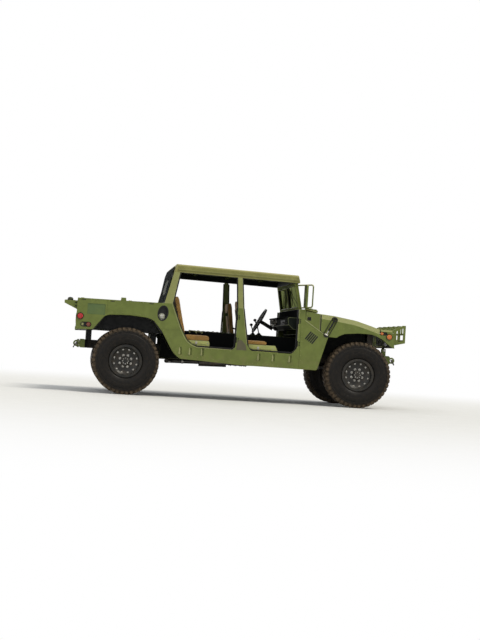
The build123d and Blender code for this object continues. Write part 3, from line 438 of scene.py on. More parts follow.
class Shape:
    """Simple solids in millimetres of the drawing, gathered into one piece."""

    def __init__(self):
        self.mesh = bmesh.new()

    def loft(self, rings, endless=False):
        """Joins rings of points, each as long as the others."""
        rows = [[self.mesh.verts.new(point) for point in ring] for ring in rings]
        for row, after in zip(rows, rows[1:] + rows[:1] if endless else rows[1:]):
            for i in range(len(row)):
                j = (i + 1) % len(row)
                self.mesh.faces.new((row[i], row[j], after[j], after[i]))
        if not endless:
            self.mesh.faces.new(reversed(rows[0]))
            self.mesh.faces.new(rows[-1])

    def box(self, x, y, z):
        """A box from three (low, high) pairs."""
        self.loft([[(a, b, height) for a, b in rectangle(x, y)] for height in z])

    def slab(self, points, y):
        """A side-view outline of (x, z) points, thick from y[0] to y[1]."""
        self.loft([[(x, side, z) for x, z in points] for side in y])

    def band(self, outer, inner, y):
        """A closed band between two side-view outlines, thick from y[0] to y[1]."""
        corners = ((outer, y[0]), (outer, y[1]), (inner, y[1]), (inner, y[0]))
        self.loft([[(x, side, z) for x, z in line] for line, side in corners], endless=True)

    def tube(self, points, radius, sides=10):
        """A round bar along points, its radius one number or one for each point."""
        points = [Vector(point) for point in points]
        rings = []
        side = None
        for i, point in enumerate(points):
            way = (points[min(i + 1, len(points) - 1)] - points[max(i - 1, 0)]).normalized()
            if side is None:
                side = way.orthogonal().normalized()
            side = (side - way * side.dot(way)).normalized()
            size = radius[i] if isinstance(radius, (list, tuple)) else radius
            rings.append(circle(point, size, side, way.cross(side), sides))
        self.loft(rings)

    def line(self, points, y, radius, sides=8):
        """A round bar along (x, z) points, as far from the middle plane all along."""
        self.tube([(x, y, z) for x, z in points], radius, sides)

    def turned(self, profile, origin, axis, sides=24, closed=False):
        """Turns (distance along the axis, radius) points round an axis."""
        origin, axis = Vector(origin), Vector(axis).normalized()
        side = axis.orthogonal().normalized()
        other = axis.cross(side)
        rings = [circle(origin + along * axis, size, side, other, sides) for along, size in profile]
        self.loft(rings, endless=closed)

    def pin(self, half, radius, middle, axis, sides):
        """A round pin, half as long as given on each side of its middle."""
        self.turned([(-half, radius), (half, radius)], middle, axis, sides)

    def bolts(self, places, way, radius, height, washer=True):
        """Hexagon heads, each on its washer."""
        for place in places:
            if washer:
                self.turned([(0, radius * 1.5), (radius * 0.25, radius * 1.45)], place, way, 16)
            head = [(0, radius), (height * 0.75, radius), (height, radius * 0.82)]
            self.turned(head, place, way, 6)

    def rivets(self, places, way, radius=5.5):
        """Domed rivet heads."""
        dome = [(0, radius), (radius * 0.3, radius * 0.85), (radius * 0.5, radius * 0.4)]
        for place in places:
            self.turned(dome, place, way, 8)

    def pair(self, name, slot, body="root", material=None, bevel=0):
        """Makes the object with the same on the other side of the car."""
        found = [*self.mesh.verts, *self.mesh.edges, *self.mesh.faces]
        copied = bmesh.ops.duplicate(self.mesh, geom=found)["geom"]
        for vert in copied:
            if isinstance(vert, bmesh.types.BMVert):
                vert.co.y = -vert.co.y
        faces = [face for face in copied if isinstance(face, bmesh.types.BMFace)]
        bmesh.ops.reverse_faces(self.mesh, faces=faces)
        return self.piece(name, slot, body, material, bevel)

    def piece(self, name, slot, body="root", material=None, bevel=0, place=None):
        """Makes the object in metres, smooth but for sharp edges, and lets it ride on a body."""
        bmesh.ops.recalc_face_normals(self.mesh, faces=self.mesh.faces)
        shift = 0 if place else SHIFT
        self.mesh.transform(Matrix.Translation((shift, 0, 0)) @ Matrix.Scale(0.001, 4))
        made = show(name, bpy.data.meshes.new(name))
        self.mesh.to_mesh(made.data)
        self.mesh.free()
        made.data.materials.append(material or MATERIALS[slot])
        made.data.polygons.foreach_set("use_smooth", [True] * len(made.data.polygons))
        made.data.set_sharp_from_angle(angle=radians(35))
        if place:
            made.matrix_world = place
        if bevel:
            bevel_edges(made, bevel, 35)
        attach(made, body)
        return made


def surface(name, start, way):
    """Where a line from a drawing point meets a CAD node, as a drawing point."""
    found, spot, normal, face_index = nodes[name].ray_cast(at(*start), Vector(way).normalized())
    if not found:
        raise ValueError(f"{name}: nothing met from {start}")
    return drawn(spot)


# Wheels: a carcass with tread lugs, bolts round the rim and nuts on the hub
TYRE_R, HUB_Y, LUGS = 470, 910, 42
CARCASS = (
    # distance from the wheel's middle, radius: from bead to crown of one side
    (118, 212), (119, 232), (131, 243), (138, 246), (141, 252), (148, 262), (149, 268), (153, 274),
    (157, 300), (158, 318), (156, 320), (156.5, 324), (158.5, 326), (159, 345), (158, 370),
    (156, 385), (153.5, 388), (154, 392), (155, 396), (150, 420), (141, 440), (124, 452),
    (100, 456), (50, 457.5), (0, 458),
)
MIDDLE_LUG =((10, 452, 1), (10, 470, 0.9), (84, 469.5, 0.9), (84, 452, 1))


def lug(shape, rows, side, angle, width, skew):
    """A tread block from (distance, radius, share of its width) points, skewed over the tyre."""
    rings = []
    for edge in (-0.5, 0.5):
        ring = []
        for y, r, share in rows:
            turn = angle + edge * width * share + skew * y / 100
            ring.append((r * sin(turn), side * y, r * cos(turn)))
        rings.append(ring)
    shape.loft(rings)


def treaded():
    """One tyre about its own middle, axis along Y."""
    shape = Shape()
    line = [(-y, r) for y, r in CARCASS] + [(y, r) for y, r in reversed(CARCASS[:-1])]
    shape.turned(line, (0, 0, 0), LEFT, 96, closed=True)
    pitch = tau / LUGS
    for k, side in product(range(LUGS), (-1, 1)):
        deep, reach = (96, 412) if k % 2 else (108, 424)
        shoulder = (
            (deep, 452, 1), (deep, 469, 0.9), (128, 470, 0.9), (146, 464, 0.9), (157, 446, 0.9),
            (158.5, reach, 0.86), (150, reach - 2, 1), (140, 436, 1),
        )
        lug(shape, shoulder, side, (k + side * 0.25) * pitch, pitch * 0.66, 0.04)
        lug(shape, MIDDLE_LUG, side, (k + 0.37 + side * 0.25) * pitch, pitch * 0.62, 0.075)
    return shape


def rim_details():
    """Bolts round the rim, nuts and studs on the hub and a valve, seen from +Y."""
    shape = Shape()
    shape.bolts(circle((0, 72, 0), 165, UP, AHEAD, 12, 0.5), LEFT, 9.5, 12)
    nuts = circle((0, 57, 0), 83, UP, AHEAD, 8, 0.5)
    shape.bolts(nuts, LEFT, 12, 17)
    for spot in nuts:
        shape.turned([(0, 5.5), (27, 5.5), (29, 4)], spot, LEFT, 10)
    shape.bolts(circle((0, 95, 0), 40, UP, AHEAD, 8), LEFT, 5, 6)
    shape.tube([(142, 60, 20), (150, 74, 21), (156, 92, 22)], [4, 4, 3.2])
    return shape


for (end, axle), (hand, side) in product((("front", AXLE), ("rear", -AXLE)), SIDES):
    corner = f"{end}_{hand}"
    centre = Matrix.Translation(at(axle, side * HUB_Y, TYRE_R))
    if side < 0:
        centre = centre @ Matrix.Rotation(pi, 4, "Z")
    tyre = treaded().piece("tread_" + corner, "tyre_rubber", "wheel_" + corner, None, 1.5, centre)
    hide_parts("tyre_" + corner)
    rim_details().piece("rim_bolts_" + corner, "rim_paint", "wheel_" + corner, BOLT, 0.6, centre)

# Seats: cushions and backs blown up as cloth, piped along their seams
SEATS = (
    # rear and front of the cushion, its underside and top, foot and head of the back
    ("rear", -863, -480, 820, 892, -885, -1022),
    ("front", -30, 340, 812, 866, -30, -120),
)
BACK_THICK, BACK_TOP, SEAT_IN, SEAT_OUT = 52, 1435, 489, 941
VOXEL, SWELL_CAP = 0.012, 0.012  # metres
PRESSURE, SWELL_STEPS = 4, 20


def bake(piece):
    """Replaces a piece's mesh by what its modifiers make of it."""
    depsgraph = bpy.context.evaluated_depsgraph_get()
    mesh = bpy.data.meshes.new_from_object(piece.evaluated_get(depsgraph), depsgraph=depsgraph)
    piece.modifiers.clear()
    piece.data = mesh


def blow_up(piece):
    """Remeshes a pad, swells it as cloth under pressure, and caps how far each point moves."""
    remesh = piece.modifiers.new("remesh", "REMESH")
    remesh.mode, remesh.voxel_size = "VOXEL", VOXEL
    bake(piece)
    before = [vert.co.copy() for vert in piece.data.vertices]
    swell = piece.modifiers.new("swell", "CLOTH")
    swell.settings.use_pressure = True
    swell.settings.uniform_pressure_force = PRESSURE
    swell.settings.effector_weights.gravity = 0
    scene = bpy.context.scene
    for step in range(1, SWELL_STEPS + 1):
        scene.frame_set(step)
    bake(piece)
    scene.frame_set(1)
    low = min(start.z for start in before) - 0.005
    for vert, start in zip(piece.data.vertices, before):
        move = vert.co - start
        if move.length > SWELL_CAP:
            vert.co = start + move * (SWELL_CAP / move.length)
        vert.co.z = max(vert.co.z, low)
    smoother = piece.modifiers.new("round", "SUBSURF")
    smoother.levels = smoother.render_levels = 1
    bake(piece)
    piece.data.polygons.foreach_set("use_smooth", [True] * len(piece.data.polygons))


def pad(name, corners, side):
    """A padded form in a side-view outline of four (x, z) corners, on one side of the car."""
    middle = [sum(line) / 4 for line in zip(*corners)]
    inset = [[a + (7 if a < mean else -7) for a, mean in zip(corner, middle)] for corner in corners]
    shape = Shape()
    shape.slab(inset, signed(side, SEAT_IN, SEAT_OUT))
    made = shape.piece(name, "tan_canvas")
    blow_up(made)
    return made


def piping(piece, corners, side):
    """Welts round both ends of a pad, laid on its surface."""
    shape = Shape()
    for y in (side * SEAT_IN, side * SEAT_OUT):
        laid = []
        for (x, z), (next_x, next_z) in zip(corners, corners[1:] + corners[:1]):
            steps = max(2, round(Vector((next_x - x, next_z - z)).length / 18))
            for k in range(steps):
                point = at(x + (next_x - x) * k / steps, y, z + (next_z - z) * k / steps)
                found, spot, normal, face_index = piece.closest_point_on_mesh(point)
                if found:
                    laid.append(drawn(spot) + normal)
        shape.tube(laid + laid[:1], 3.6, 8)
    return shape


cushions, backs = [], []
for row, rear, front, low, top, foot, head in SEATS:
    cushion = rectangle((rear, front), (low, top))
    back = [(foot, top), (foot + BACK_THICK, top), (head + BACK_THICK, BACK_TOP), (head, BACK_TOP)]
    for (hand, side), (kind, corners, kept) in product(
        SIDES, (("cushion", cushion, cushions), ("back", back, backs))
    ):
        made = pad(f"{kind}_{row}_{hand}", corners, side)
        kept.append(made)
        piping(made, corners, side).piece(f"{kind}_piping_{row}_{hand}", "tan_canvas")
for stand_in, made in (("seat_cushions", cushions), ("seat_backs", backs)):
    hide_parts(stand_in)

# Rear curtain: one stretched canvas with a hemmed window, from the bed's front wall to the roof
CURTAIN_LINE = [Vector(spot) for spot in ((-1146, 1303), (-1063, 1766), (-1036, 1846))]
CURTAIN_LENGTH = sum((b - a).length for a, b in zip(CURTAIN_LINE, CURTAIN_LINE[1:]))
CURTAIN_HALF, CURTAIN_ROWS, CURTAIN_COLUMNS = 926, 28, 92
WINDOW_Y, WINDOW_UP = 400, (150, 390)


def curtain_point(y, along, out=0.0):
    """A point of the curtain, by distance up along its line, out towards the rear."""
    for low, high in zip(CURTAIN_LINE, CURTAIN_LINE[1:]):
        run = high - low
        if along <= run.length or high == CURTAIN_LINE[-1]:
            spot = low + run.normalized() * along + Vector((-run.y, run.x)).normalized() * out
            return Vector((spot.x, y, spot.y))
        along -= run.length


def curtain_wave(y, along):
    """Slight tension wrinkles, none along the edges."""
    fade = min(1, along / 90, (CURTAIN_LENGTH - along) / 90, (CURTAIN_HALF - abs(y)) / 90)
    return fade * (2.6 * sin(y / 52 + along / 70) + 1.8 * sin(y / 23 - along / 41))


def curtain_tape(shape, corners, width, raised):
    """A flat tape that follows the curtain round an outline of (y, along) corners."""
    for start, end in zip(corners, corners[1:] + corners[:1]):
        start, run = Vector(start), Vector(end) - Vector(start)
        side = Vector((-run.y, run.x)).normalized() * width / 2
        count = max(2, round(run.length / 22))
        rings = []
        for k in range(-1, count + 2):
            reach = width / 2 * ((k > count) - (k < 0))
            middle = start + run * min(max(k / count, 0), 1) + run.normalized() * reach
            ring = []
            for edge, rise in rectangle((-1, 1), (-1.2, raised)):
                spot = middle + side * edge
                y = min(max(spot.x, -CURTAIN_HALF), CURTAIN_HALF)
                along = min(max(spot.y, 0), CURTAIN_LENGTH)
                ring.append(curtain_point(y, along, rise + curtain_wave(y, along)))
            rings.append(ring)
        shape.loft(rings)


def thicken(piece, thickness):
    """Gives a sheet its thickness in millimetres, half of it on each side."""
    thick = piece.modifiers.new("thick", "SOLIDIFY")
    thick.thickness, thick.offset = thickness / 1000, 0


canvas, hems, panes, studs = Shape(), Shape(), Shape(), Shape()
grid = []
for row in range(CURTAIN_ROWS + 1):
    along = CURTAIN_LENGTH * row / CURTAIN_ROWS
    grid.append([])
    for column in range(CURTAIN_COLUMNS + 1):
        y = CURTAIN_HALF * (2 * column / CURTAIN_COLUMNS - 1)
        grid[-1].append(canvas.mesh.verts.new(curtain_point(y, along, curtain_wave(y, along))))
for row, column in product(range(CURTAIN_ROWS), range(CURTAIN_COLUMNS)):
    along = CURTAIN_LENGTH * (row + 0.5) / CURTAIN_ROWS
    y = CURTAIN_HALF * (2 * (column + 0.5) / CURTAIN_COLUMNS - 1)
    if abs(y) < WINDOW_Y and WINDOW_UP[0] < along < WINDOW_UP[1]:
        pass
    else:
        lower, upper = (line[column : column + 2] for line in grid[row : row + 2])
        canvas.mesh.faces.new((*lower, *reversed(upper)))
loose = [vert for vert in canvas.mesh.verts if not vert.link_faces]
bmesh.ops.delete(canvas.mesh, geom=loose, context="VERTS")
curtain = canvas.piece("rear_canvas", "curtain_canvas")
thicken(curtain, 2.2)
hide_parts("rear_curtain")
edge_y, edge_top = CURTAIN_HALF - 16, CURTAIN_LENGTH - 16
curtain_tape(hems, rectangle((-edge_y, edge_y), (16, edge_top)), 32, 2.6)
frame_y, frame_low, frame_top = WINDOW_Y + 6, WINDOW_UP[0] - 6, WINDOW_UP[1] + 6
curtain_tape(hems, rectangle((-frame_y, frame_y), (frame_low, frame_top)), 34, 3.4)
for row, column in product(range(12), range(24)):
    ys = [frame_y * (2 * (column + k) / 24 - 1) for k in (0, 1)]
    ups = [frame_low + (frame_top - frame_low) * (row + k) / 12 for k in (0, 1)]
    corners = [panes.mesh.verts.new(curtain_point(*corner)) for corner in rectangle(ys, ups)]
    panes.mesh.faces.new(corners)
bmesh.ops.remove_doubles(panes.mesh, verts=panes.mesh.verts, dist=0.01)
thicken(panes.piece("rear_window", "clear_glass"), 1.2)
for k in range(13):
    spot = curtain_point(-880 + k * 1760 / 12, 22, 3)
    studs.turned([(0, 9), (2, 9), (3, 6)], spot, (-1, 0, 0.18), 16)
    studs.box((spot.x - 9, spot.x - 3), about(spot.y, 3), about(spot.z, 8))
hem = hems.piece("curtain_hems", "curtain_canvas")
studs.piece("curtain_studs", "dark_metal", material=BOLT)

# Coil springs on their dampers
SPRING_X, SPRING_Y, SPRING_LOW, SPRING_TOP = -105, 545, 475, 830
COIL_R, COIL_TURNS, COIL_STEPS = 33.5, 7, 130
DAMPER = [(0, 16), (5, 16), (5, 13), (150, 13), (150, 16), (152, 21), (350, 21), (355, 16)]
coils = Shape()
for axle in (AXLE, -AXLE):
    x = axle + SPRING_X
    route = []
    for k in range(COIL_STEPS + 1):
        share = k / COIL_STEPS
        angle = COIL_TURNS * tau * share
        climb = SPRING_LOW + 8 + (SPRING_TOP - SPRING_LOW - 16) * share
        route.append((x + COIL_R * cos(angle), SPRING_Y + COIL_R * sin(angle), climb))
    coils.tube(route, 6.5, 8)
    coils.turned(DAMPER, (x, SPRING_Y, SPRING_LOW), UP, 16)
    for height in (SPRING_LOW, SPRING_TOP - 8):
        coils.turned([(0, 40), (8, 40)], (x, SPRING_Y, height), UP)
spring = coils.pair("coil_springs", "spring_steel")
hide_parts("springs")

# Doorways: thick rubber seals, flanges lighter as a painted highlight and what is left of the door
# hinges; all as (x, z)
REAR_DOOR = (
    (-1036, 1306), (-1024, 1282), (-909, 996), (-862, 899), (-808, 814), (-741, 762), (-663, 739),
    (-184, 732), (-155, 748), (-142, 771), (-130, 1306),
)
FRONT_DOOR = (
    (-35, 1306), (46, 814), (61, 768), (108, 732), (672, 728), (718, 758), (734, 806), (734, 1346),
)
FLANGES = (
    (
        (-1052, 1306), (-1038, 1270), (-925, 990), (-878, 892), (-822, 802), (-749, 746),
        (-666, 722), (-180, 715),
    ),
    ((752, 800), (752, 1346)),
    ((30, 815), (-47, 1306)),
)
POST_SEALS = ((-125, 1309), (-144, 1733)), ((-39, 1309), (-67, 1730)), ((-1038, 1309), (-951, 1766))
POST_FLANGES = ((-50, 1309), (-78, 1730)), ((-1050, 1309), (-963, 1764))
POST_LEAN, BELT_Z = radians(11), 1309
POST_OUT = Vector((0, cos(POST_LEAN), sin(POST_LEAN)))


def on_post(x, z, out=0.0):
    """A point on the leaning outer face of a post, from its height; out stands it proud."""
    inward = (z - BELT_Z) / cos(POST_LEAN) * sin(POST_LEAN)
    return Vector((x, BODY_HALF - inward, z)) + POST_OUT * out


seals, flanges, leaves = Shape(), Shape(), Shape()
for route in (REAR_DOOR, FRONT_DOOR):
    seals.line(route, 1056, 11, 10)
for route in FLANGES:
    flanges.line(route, 1079, 4.5)
for ends in POST_SEALS:
    seals.tube([on_post(*end, -22) for end in ends], 11)
for ends in POST_FLANGES:
    flanges.tube([on_post(*end, -1) for end in ends], 4.5, 8)
for x, z in product((752, -118), (860, 1180)):
    leaves.box((x - 12, x + 6), (1058, 1082), about(z, 34))
    leaves.pin(40, 9, (x - 4, 1078, z), UP, 12)
    leaves.bolts([(x + 24, 1080, z + height) for height in (-22, 0, 22)], LEFT, 6, 5)
for x, z in ((-1000, 1180), (40, 900)):
    leaves.box(about(x, 9), (1060, 1070), about(z, 26))
    leaves.turned([(0, 7), (20, 7), (22, 10), (26, 10)], (x, 1052, z), LEFT, 12)
seals.pair("door_seals", "black_plastic")
flanges.pair("door_flanges", "olive_paint", material=WORN_AND_LIT)
leaves.pair("hinge_leaves", "black_paint", bevel=1)

# Rivets of the body, by panel: start, end, spacing
SIDE_RIVETS = (
    ((-870, 592), (-60, 540), 74), ((60, 540), (770, 532), 74), ((806, 540), (1040, 536), 60),
    ((-640, 700), (-190, 694), 90), ((120, 692), (660, 688), 90),
    ((-2350, 1296), (-2320, 1296), 30), ((-2240, 1296), (-1930, 1296), 62),
    ((-1840, 1296), (-1395, 1296), 62), ((-1290, 1296), (-1080, 1296), 62),
    ((-2350, 905), (-2160, 900), 62), ((-2345, 1270), (-2345, 1110), 52),
    ((-1620, 1140), (-1420, 1124), 66), ((-1880, 1134), (-1660, 1140), 66),
    ((-1262, 1055), (-1180, 970), 60), ((-1150, 930), (-1010, 700), 66),
    ((806, 560), (806, 1100), 72), ((768, 860), (768, 1300), 74),
    ((870, 1150), (1150, 960), 56), ((1150, 930), (1040, 545), 66),
)
POST_RIVETS = ((-1090, 1340), (-1004, 1760)), ((-82, 1340), (-88, 1700))
body_rivets = Shape()
for start, end, spacing in SIDE_RIVETS:
    start, end = Vector(start), Vector(end)
    count = max(1, round((end - start).length / spacing))
    spots = [start.lerp(end, k / count) for k in range(count + 1)]
    body_rivets.rivets([(x, BODY_HALF, z) for x, z in spots], LEFT)
for low, high in POST_RIVETS:
    spots = [Vector(low).lerp(Vector(high), share) for share in (0.02, 0.26, 0.5, 0.74, 0.98)]
    body_rivets.rivets([on_post(x, z, 0.3) for x, z in spots], POST_OUT)
body_rivets.pair("body_rivets", "olive_paint")

# Crowns in the lighter worn colour along the rear edge of the rocker's pressed-in ribs: a painted
# highlight
crowns = Shape()
for x, z in ((-894, 660), (-752, 660), (-583, 660), (219, 640), (426, 640), (663, 640)):
    route = [(x - 17, 1079, z + 46), (x - 17, 1080, z + 20), (x - 18, 1080, z - 34)]
    crowns.tube(route, [5, 9, 12], 12)
    crowns.turned([(-4, 15), (4, 14), (9, 9), (11, 3)], (x - 18, 1080, z - 38), LEFT, 14)
crowns.pair("rib_crown_highlights", "olive_paint", material=WORN_AND_LIT)

# Scuffed metal plate at the foot of each centre post
scuffed = paint("scuffed_paint", (0.085, 0.085, 0.05), (0.15, 0.12, 0.07), 0.7)
scuff = Shape()
scuff.slab([(-112, 722), (34, 722), (18, 800), (-44, 862), (-100, 862)], (1080, 1081.6))
scuff.pair("post_scuffs", "dark_metal", material=scuffed)

# Tie-down staples in the slots under the top edge, and hooks inside the bed
staples = Shape()
for x in (-2284, -1886, -1341):
    staples.line([(x - 20, 1291), (x + 20, 1291)], 1072, 4)
for x in (-2150, -1900, -1650, -1400):
    staples.box(about(x, 26), (1026, 1032), (1210, 1240))
    hook = ((-16, 1028, 1225), (-16, 1006, 1215), (16, 1006, 1215), (16, 1028, 1225))
    staples.tube([(x + ahead, y, z) for ahead, y, z in hook], 4.5, 8)
    staples.bolts([(x + ahead, 1026, 1225) for ahead in (-21, 21)], RIGHT, 4.5, 4, washer=False)
staples.pair("tie_down_staples", "dark_metal")

# Fuel filler: black bowl as painted shade in its recess, raised rim, cap with grip ribs
FILLER_CAP = -1186, 1125


def turn_flat(x, z, u, v, turn):
    """The (x, z) point that lies u and v away from a middle, in axes turned from X and Z."""
    return (x + u * cos(turn) - v * sin(turn), z + u * sin(turn) + v * cos(turn))


def oval(long_half, short_half):
    """Outline of the filler's opening, from two half-axes."""
    return [
        turn_flat(-1172, 1170, short_half * cos(turn), long_half * sin(turn), radians(-8))
        for turn in around(40)
    ]


bowl, rim, filler = Shape(), Shape(), Shape()
bowl.slab(oval(96, 62), (-1056, -1051))
bowl.band(oval(97.5, 63.5), oval(94.5, 60.5), (-1052, -1079))
rim.band(oval(110, 76), oval(95, 61), (-1078, -1083))
# Black bowl: painted shade inside the filler recess
bowl.piece("filler_bowl", "black_plastic")
rim.piece("filler_rim", "black_plastic", bevel=1)
x, z = FILLER_CAP
filler.turned([(0, 44), (9, 44), (9, 39), (0, 39)], (x, -1054, z), RIGHT, 32, closed=True)
filler.turned([(0, 31), (4, 31), (6, 27)], (x, -1074, z), RIGHT, 28)
filler.box(about(x, 20), (-1086, -1079), about(z, 5))
for spot in circle((x, -1056, z), 34.5, AHEAD, UP, 12):
    filler.turned([(0, 3.4), (17, 3.4)], spot, RIGHT, 8)
filler.piece("filler_fittings", "dark_metal", material=BOLT, bevel=0.6)

# Hood latches: a thick rubber loop in its groove, a grip across it, and a bright catch below
LATCH_X, LATCH_Z, LATCH_TURN = 1211, 1124, radians(63)
LATCH_LONG, LATCH_WIDE = 322, 86


def latch_point(u, v, out=0.0):
    """A point of the left latch: u along it, v across it, out from the panel."""
    x, z = turn_flat(LATCH_X, LATCH_Z, u, -v, LATCH_TURN)
    return (x, BODY_HALF + out, z)


def latch_outline(scale):
    """The loop's outline as (x, z) points, scaled about its middle."""
    points = []
    for turn in around(40):
        end = (LATCH_LONG - LATCH_WIDE) / 2 * (1 if cos(turn) >= 0 else -1)
        u, v = end + LATCH_WIDE / 2 * cos(turn), LATCH_WIDE / 2 * sin(turn)
        points.append(turn_flat(LATCH_X, LATCH_Z, u * scale, -v * scale, LATCH_TURN))
    return points


latch_rubber, latch_metal = Shape(), Shape()
latch_rubber.band(latch_outline(1), latch_outline(0.86), (1044, 1090))
grip = [latch_point(-60, 0, 2), latch_point(20, 3, 9), latch_point(118, 0, 4)]
latch_rubber.tube(grip, [11, 13, 10], 12)
latch_rubber.tube([latch_point(104, -26, 5), latch_point(104, 26, 5)], 9, 12)
latch_metal.tube([latch_point(-58, 0, 4), latch_point(-128, 0, 6)], 7)
latch_metal.tube([latch_point(-124, -24, 6), latch_point(-124, 24, 6)], 8)
latch_metal.bolts([latch_point(-142, side, 4) for side in (-15, 15)], LEFT, 5, 4)
for u in (-16, 10, 36):
    latch_metal.tube([latch_point(u, -9, 14), latch_point(u, 9, 14)], 2.6, 8)
latch_rubber.pair("hood_latches", "black_plastic", "hood", bevel=1.5)
latch_metal.pair("hood_catches", "dark_metal", "hood", BOLT)

# Gap seal along the hood's rear edge beside the air intake
gap = Shape()
gap.box((1063, 1075), (-1081, -640), (1054, 1290))
gap.piece("hood_gap_seal", "black_plastic", bevel=1)

# Fender lips along the arches
ARCH = (
    (2146, 881), (2092, 906), (2055, 931), (1997, 978), (1955, 1005), (1905, 1030), (1850, 1052),
    (1790, 1061), (1700, 1063), (1613, 1063), (1500, 1052), (1420, 1043), (1350, 1012),
    (1301, 982), (1192, 987),
)
REAR_ARCH = (
    (-2139, 884), (-2062, 983), (-1984, 1080), (-1945, 1096), (-1909, 1106), (-1770, 1112),
    (-1631, 1114), (-1510, 1106), (-1391, 1096), (-1330, 1078), (-1291, 1058), (-1230, 990),
    (-1170, 919), (-1107, 812), (-1044, 705), (-1010, 654), (-982, 618), (-940, 582), (-893, 553),
)
LIP = ((1080, 1), (1084, 1), (1084, -2), (1036, -2), (1036, 1))
for name, arch, body in (("fender_lips", ARCH, "hood"), ("rear_arch_lips", REAR_ARCH, "root")):
    lips = Shape()
    lips.loft([[(x, y, z + rise) for y, rise in LIP] for x, z in arch])
    lips.pair(name, "olive_paint", body)


# Lamps: domed lenses, bezels with screws, and liners in the marker recesses
def stadium(x, z, length, width, turn=0.0, steps=10):
    """Outline of (x, z) points of a slot shape, long along its turn from X."""
    points = []
    for end, k in product((1, -1), range(steps + 1)):
        angle = pi * (k / steps - end / 2)
        u = end * (length - width) / 2 + width / 2 * cos(angle)
        points.append(turn_flat(x, z, u, width / 2 * sin(angle), turn))
    return points


SIDE_LAMPS = (
    # key of its dome, body, x, z, radius, y of the lens's outer face
    ("amber_lens", "hood", 2064, 1037, 37, 1090),
    ("red_lens", "root", -2319, 1060, 40, 1090),
    ("marker", "root", -2200, 948, 30, 1076),
)
HEAD_Y, HEAD_R, TURN_Y, FRONT_LAMP_Z = 700, 90, 920, 1000
REAR_LAMP_Y, REAR_LAMP_Z = 925, 1040
bezels = {"hood": Shape(), "root": Shape()}
domes = {"amber_lens": Shape(), "red_lens": Shape(), "marker": Shape()}
for kind, body, x, z, r, face in SIDE_LAMPS:
    ring = [(0, r + 1), (11, r), (13, r + 3), (11, r + 7), (0, r + 8)]
    bezels[body].turned(ring, (x, face - 10, z), LEFT, 28, closed=True)
    dome = [(0, r - 1), (3, r * 0.92), (5, r * 0.7), (6, r * 0.4), (6.4, 1)]
    domes[kind].turned(dome, (x, face - 0.5, z), LEFT, 28)
for y, r, face in ((HEAD_Y, HEAD_R, 2133), (TURN_Y, 47, 2143)):
    ring = [(-8, r - 9), (3, r - 9), (6, r - 6), (5, r - 1), (-8, r - 1)]
    bezels["hood"].turned(ring, (face, y, FRONT_LAMP_Z), AHEAD, 36, closed=True)
head_lens = Shape()
dome = [(0, HEAD_R - 10), (5, HEAD_R - 16), (10, HEAD_R - 34), (13, HEAD_R - 58), (14, 1)]
head_lens.turned(dome, (2132.5, HEAD_Y, FRONT_LAMP_Z), AHEAD, 36)
head_lens.pair("headlamp_domes", "lamp_glass", "hood")
amber, red = domes["amber_lens"], domes["red_lens"]
amber.turned([(0, 39), (4, 34), (6, 22), (7, 1)], (2142.5, TURN_Y, FRONT_LAMP_Z), AHEAD, 28)
amber.slab(stadium(1958, 1080, 46, 34), (1067, 1082))
amber.slab(stadium(1958, 1080, 34, 22), (1082, 1085))
amber.pair("amber_domes", "amber_lens", "hood", bevel=1.5)
red.turned([(0, 47), (4, 42), (6, 26), (7, 1)], (-2375.5, REAR_LAMP_Y, REAR_LAMP_Z), BACK, 32)
red.pair("red_domes", "red_lens", bevel=0.8)
# Darker red than the rear lamps' lens: painted shade of the marker's recess
shaded_marker_lens = lens_glass("shaded_marker_lens", (0.26, 0.055, 0.022), 0.005, 0.25)
domes["marker"].pair("marker_domes", "red_lens", material=shaded_marker_lens, bevel=0.8)
bezels["hood"].slab(stadium(1978, 1080, 113, 47), (1066, 1069))
bezels["root"].slab(stadium(-2235, 948, 151, 68), (1063, 1067.5))
ring = [(0, 51), (11, 51), (15, 54), (13, 59), (0, 60)]
bezels["root"].turned(ring, (-2364, REAR_LAMP_Y, REAR_LAMP_Z), BACK, 36, closed=True)
bezels["hood"].pair("front_lamp_bezels", "black_plastic", "hood")
bezels["root"].pair("rear_lamp_bezels", "black_plastic")
lamp_brackets, screws = Shape(), Shape()
lamp_brackets.box((-2296, -2268), (1064, 1077), (930, 966))
lamp_brackets.bolts([(-2282, 1077, 948)], LEFT, 5, 4)
lamp_brackets.pair("rear_marker_brackets", "olive_paint", material=WORN_AND_LIT, bevel=2)
spots = circle((2147.5, HEAD_Y, FRONT_LAMP_Z), 98, LEFT, UP, 3, 0.25)
screws.bolts(spots, AHEAD, 4.5, 4)
screws.bolts([(1926, 1068.5, 1080)], LEFT, 5, 4)
screws.pair("front_lamp_screws", "dark_metal", "hood", BOLT)

# Radiator core behind the grille, and its fan with the shroud
core, fan = Shape(), Shape()
for y in range(-372, 372, 12):
    core.box((1960, 1968), (y, y + 3), (755, 1070))
for z in range(770, 1066, 26):
    core.box((1960, 1966), (-372, 372), (z, z + 5))
for height in ((744, 757), (1066, 1080)):
    core.box((1872, 1972), (-380, 380), height)
core.piece("radiator_core", "dark_metal")
fan.turned([(0, 290), (60, 285), (60, 279), (0, 284)], (1880, 0, 905), BACK, 40, closed=True)
fan.turned([(0, 44), (26, 44), (34, 30)], (1840, 0, 905), BACK, 20)
fan.turned([(0, 14), (190, 14)], (1832, 0, 905), BACK, 12)
for turn in around(7):
    rings = []
    for reach, wide, twist in ((40, 26, 0.8), (150, 44, 0.55), (262, 56, 0.4)):
        ring = []
        for u, v in rectangle((-wide, wide), (-1.5, 1.5)):
            across, forward = turn_flat(0, 0, u, v, twist)
            y, z = turn_flat(0, 905, reach, across, turn)
            ring.append((1822 + forward, y, z))
        rings.append(ring)
    fan.loft(rings)
fan.piece("radiator_fan", "dark_metal")

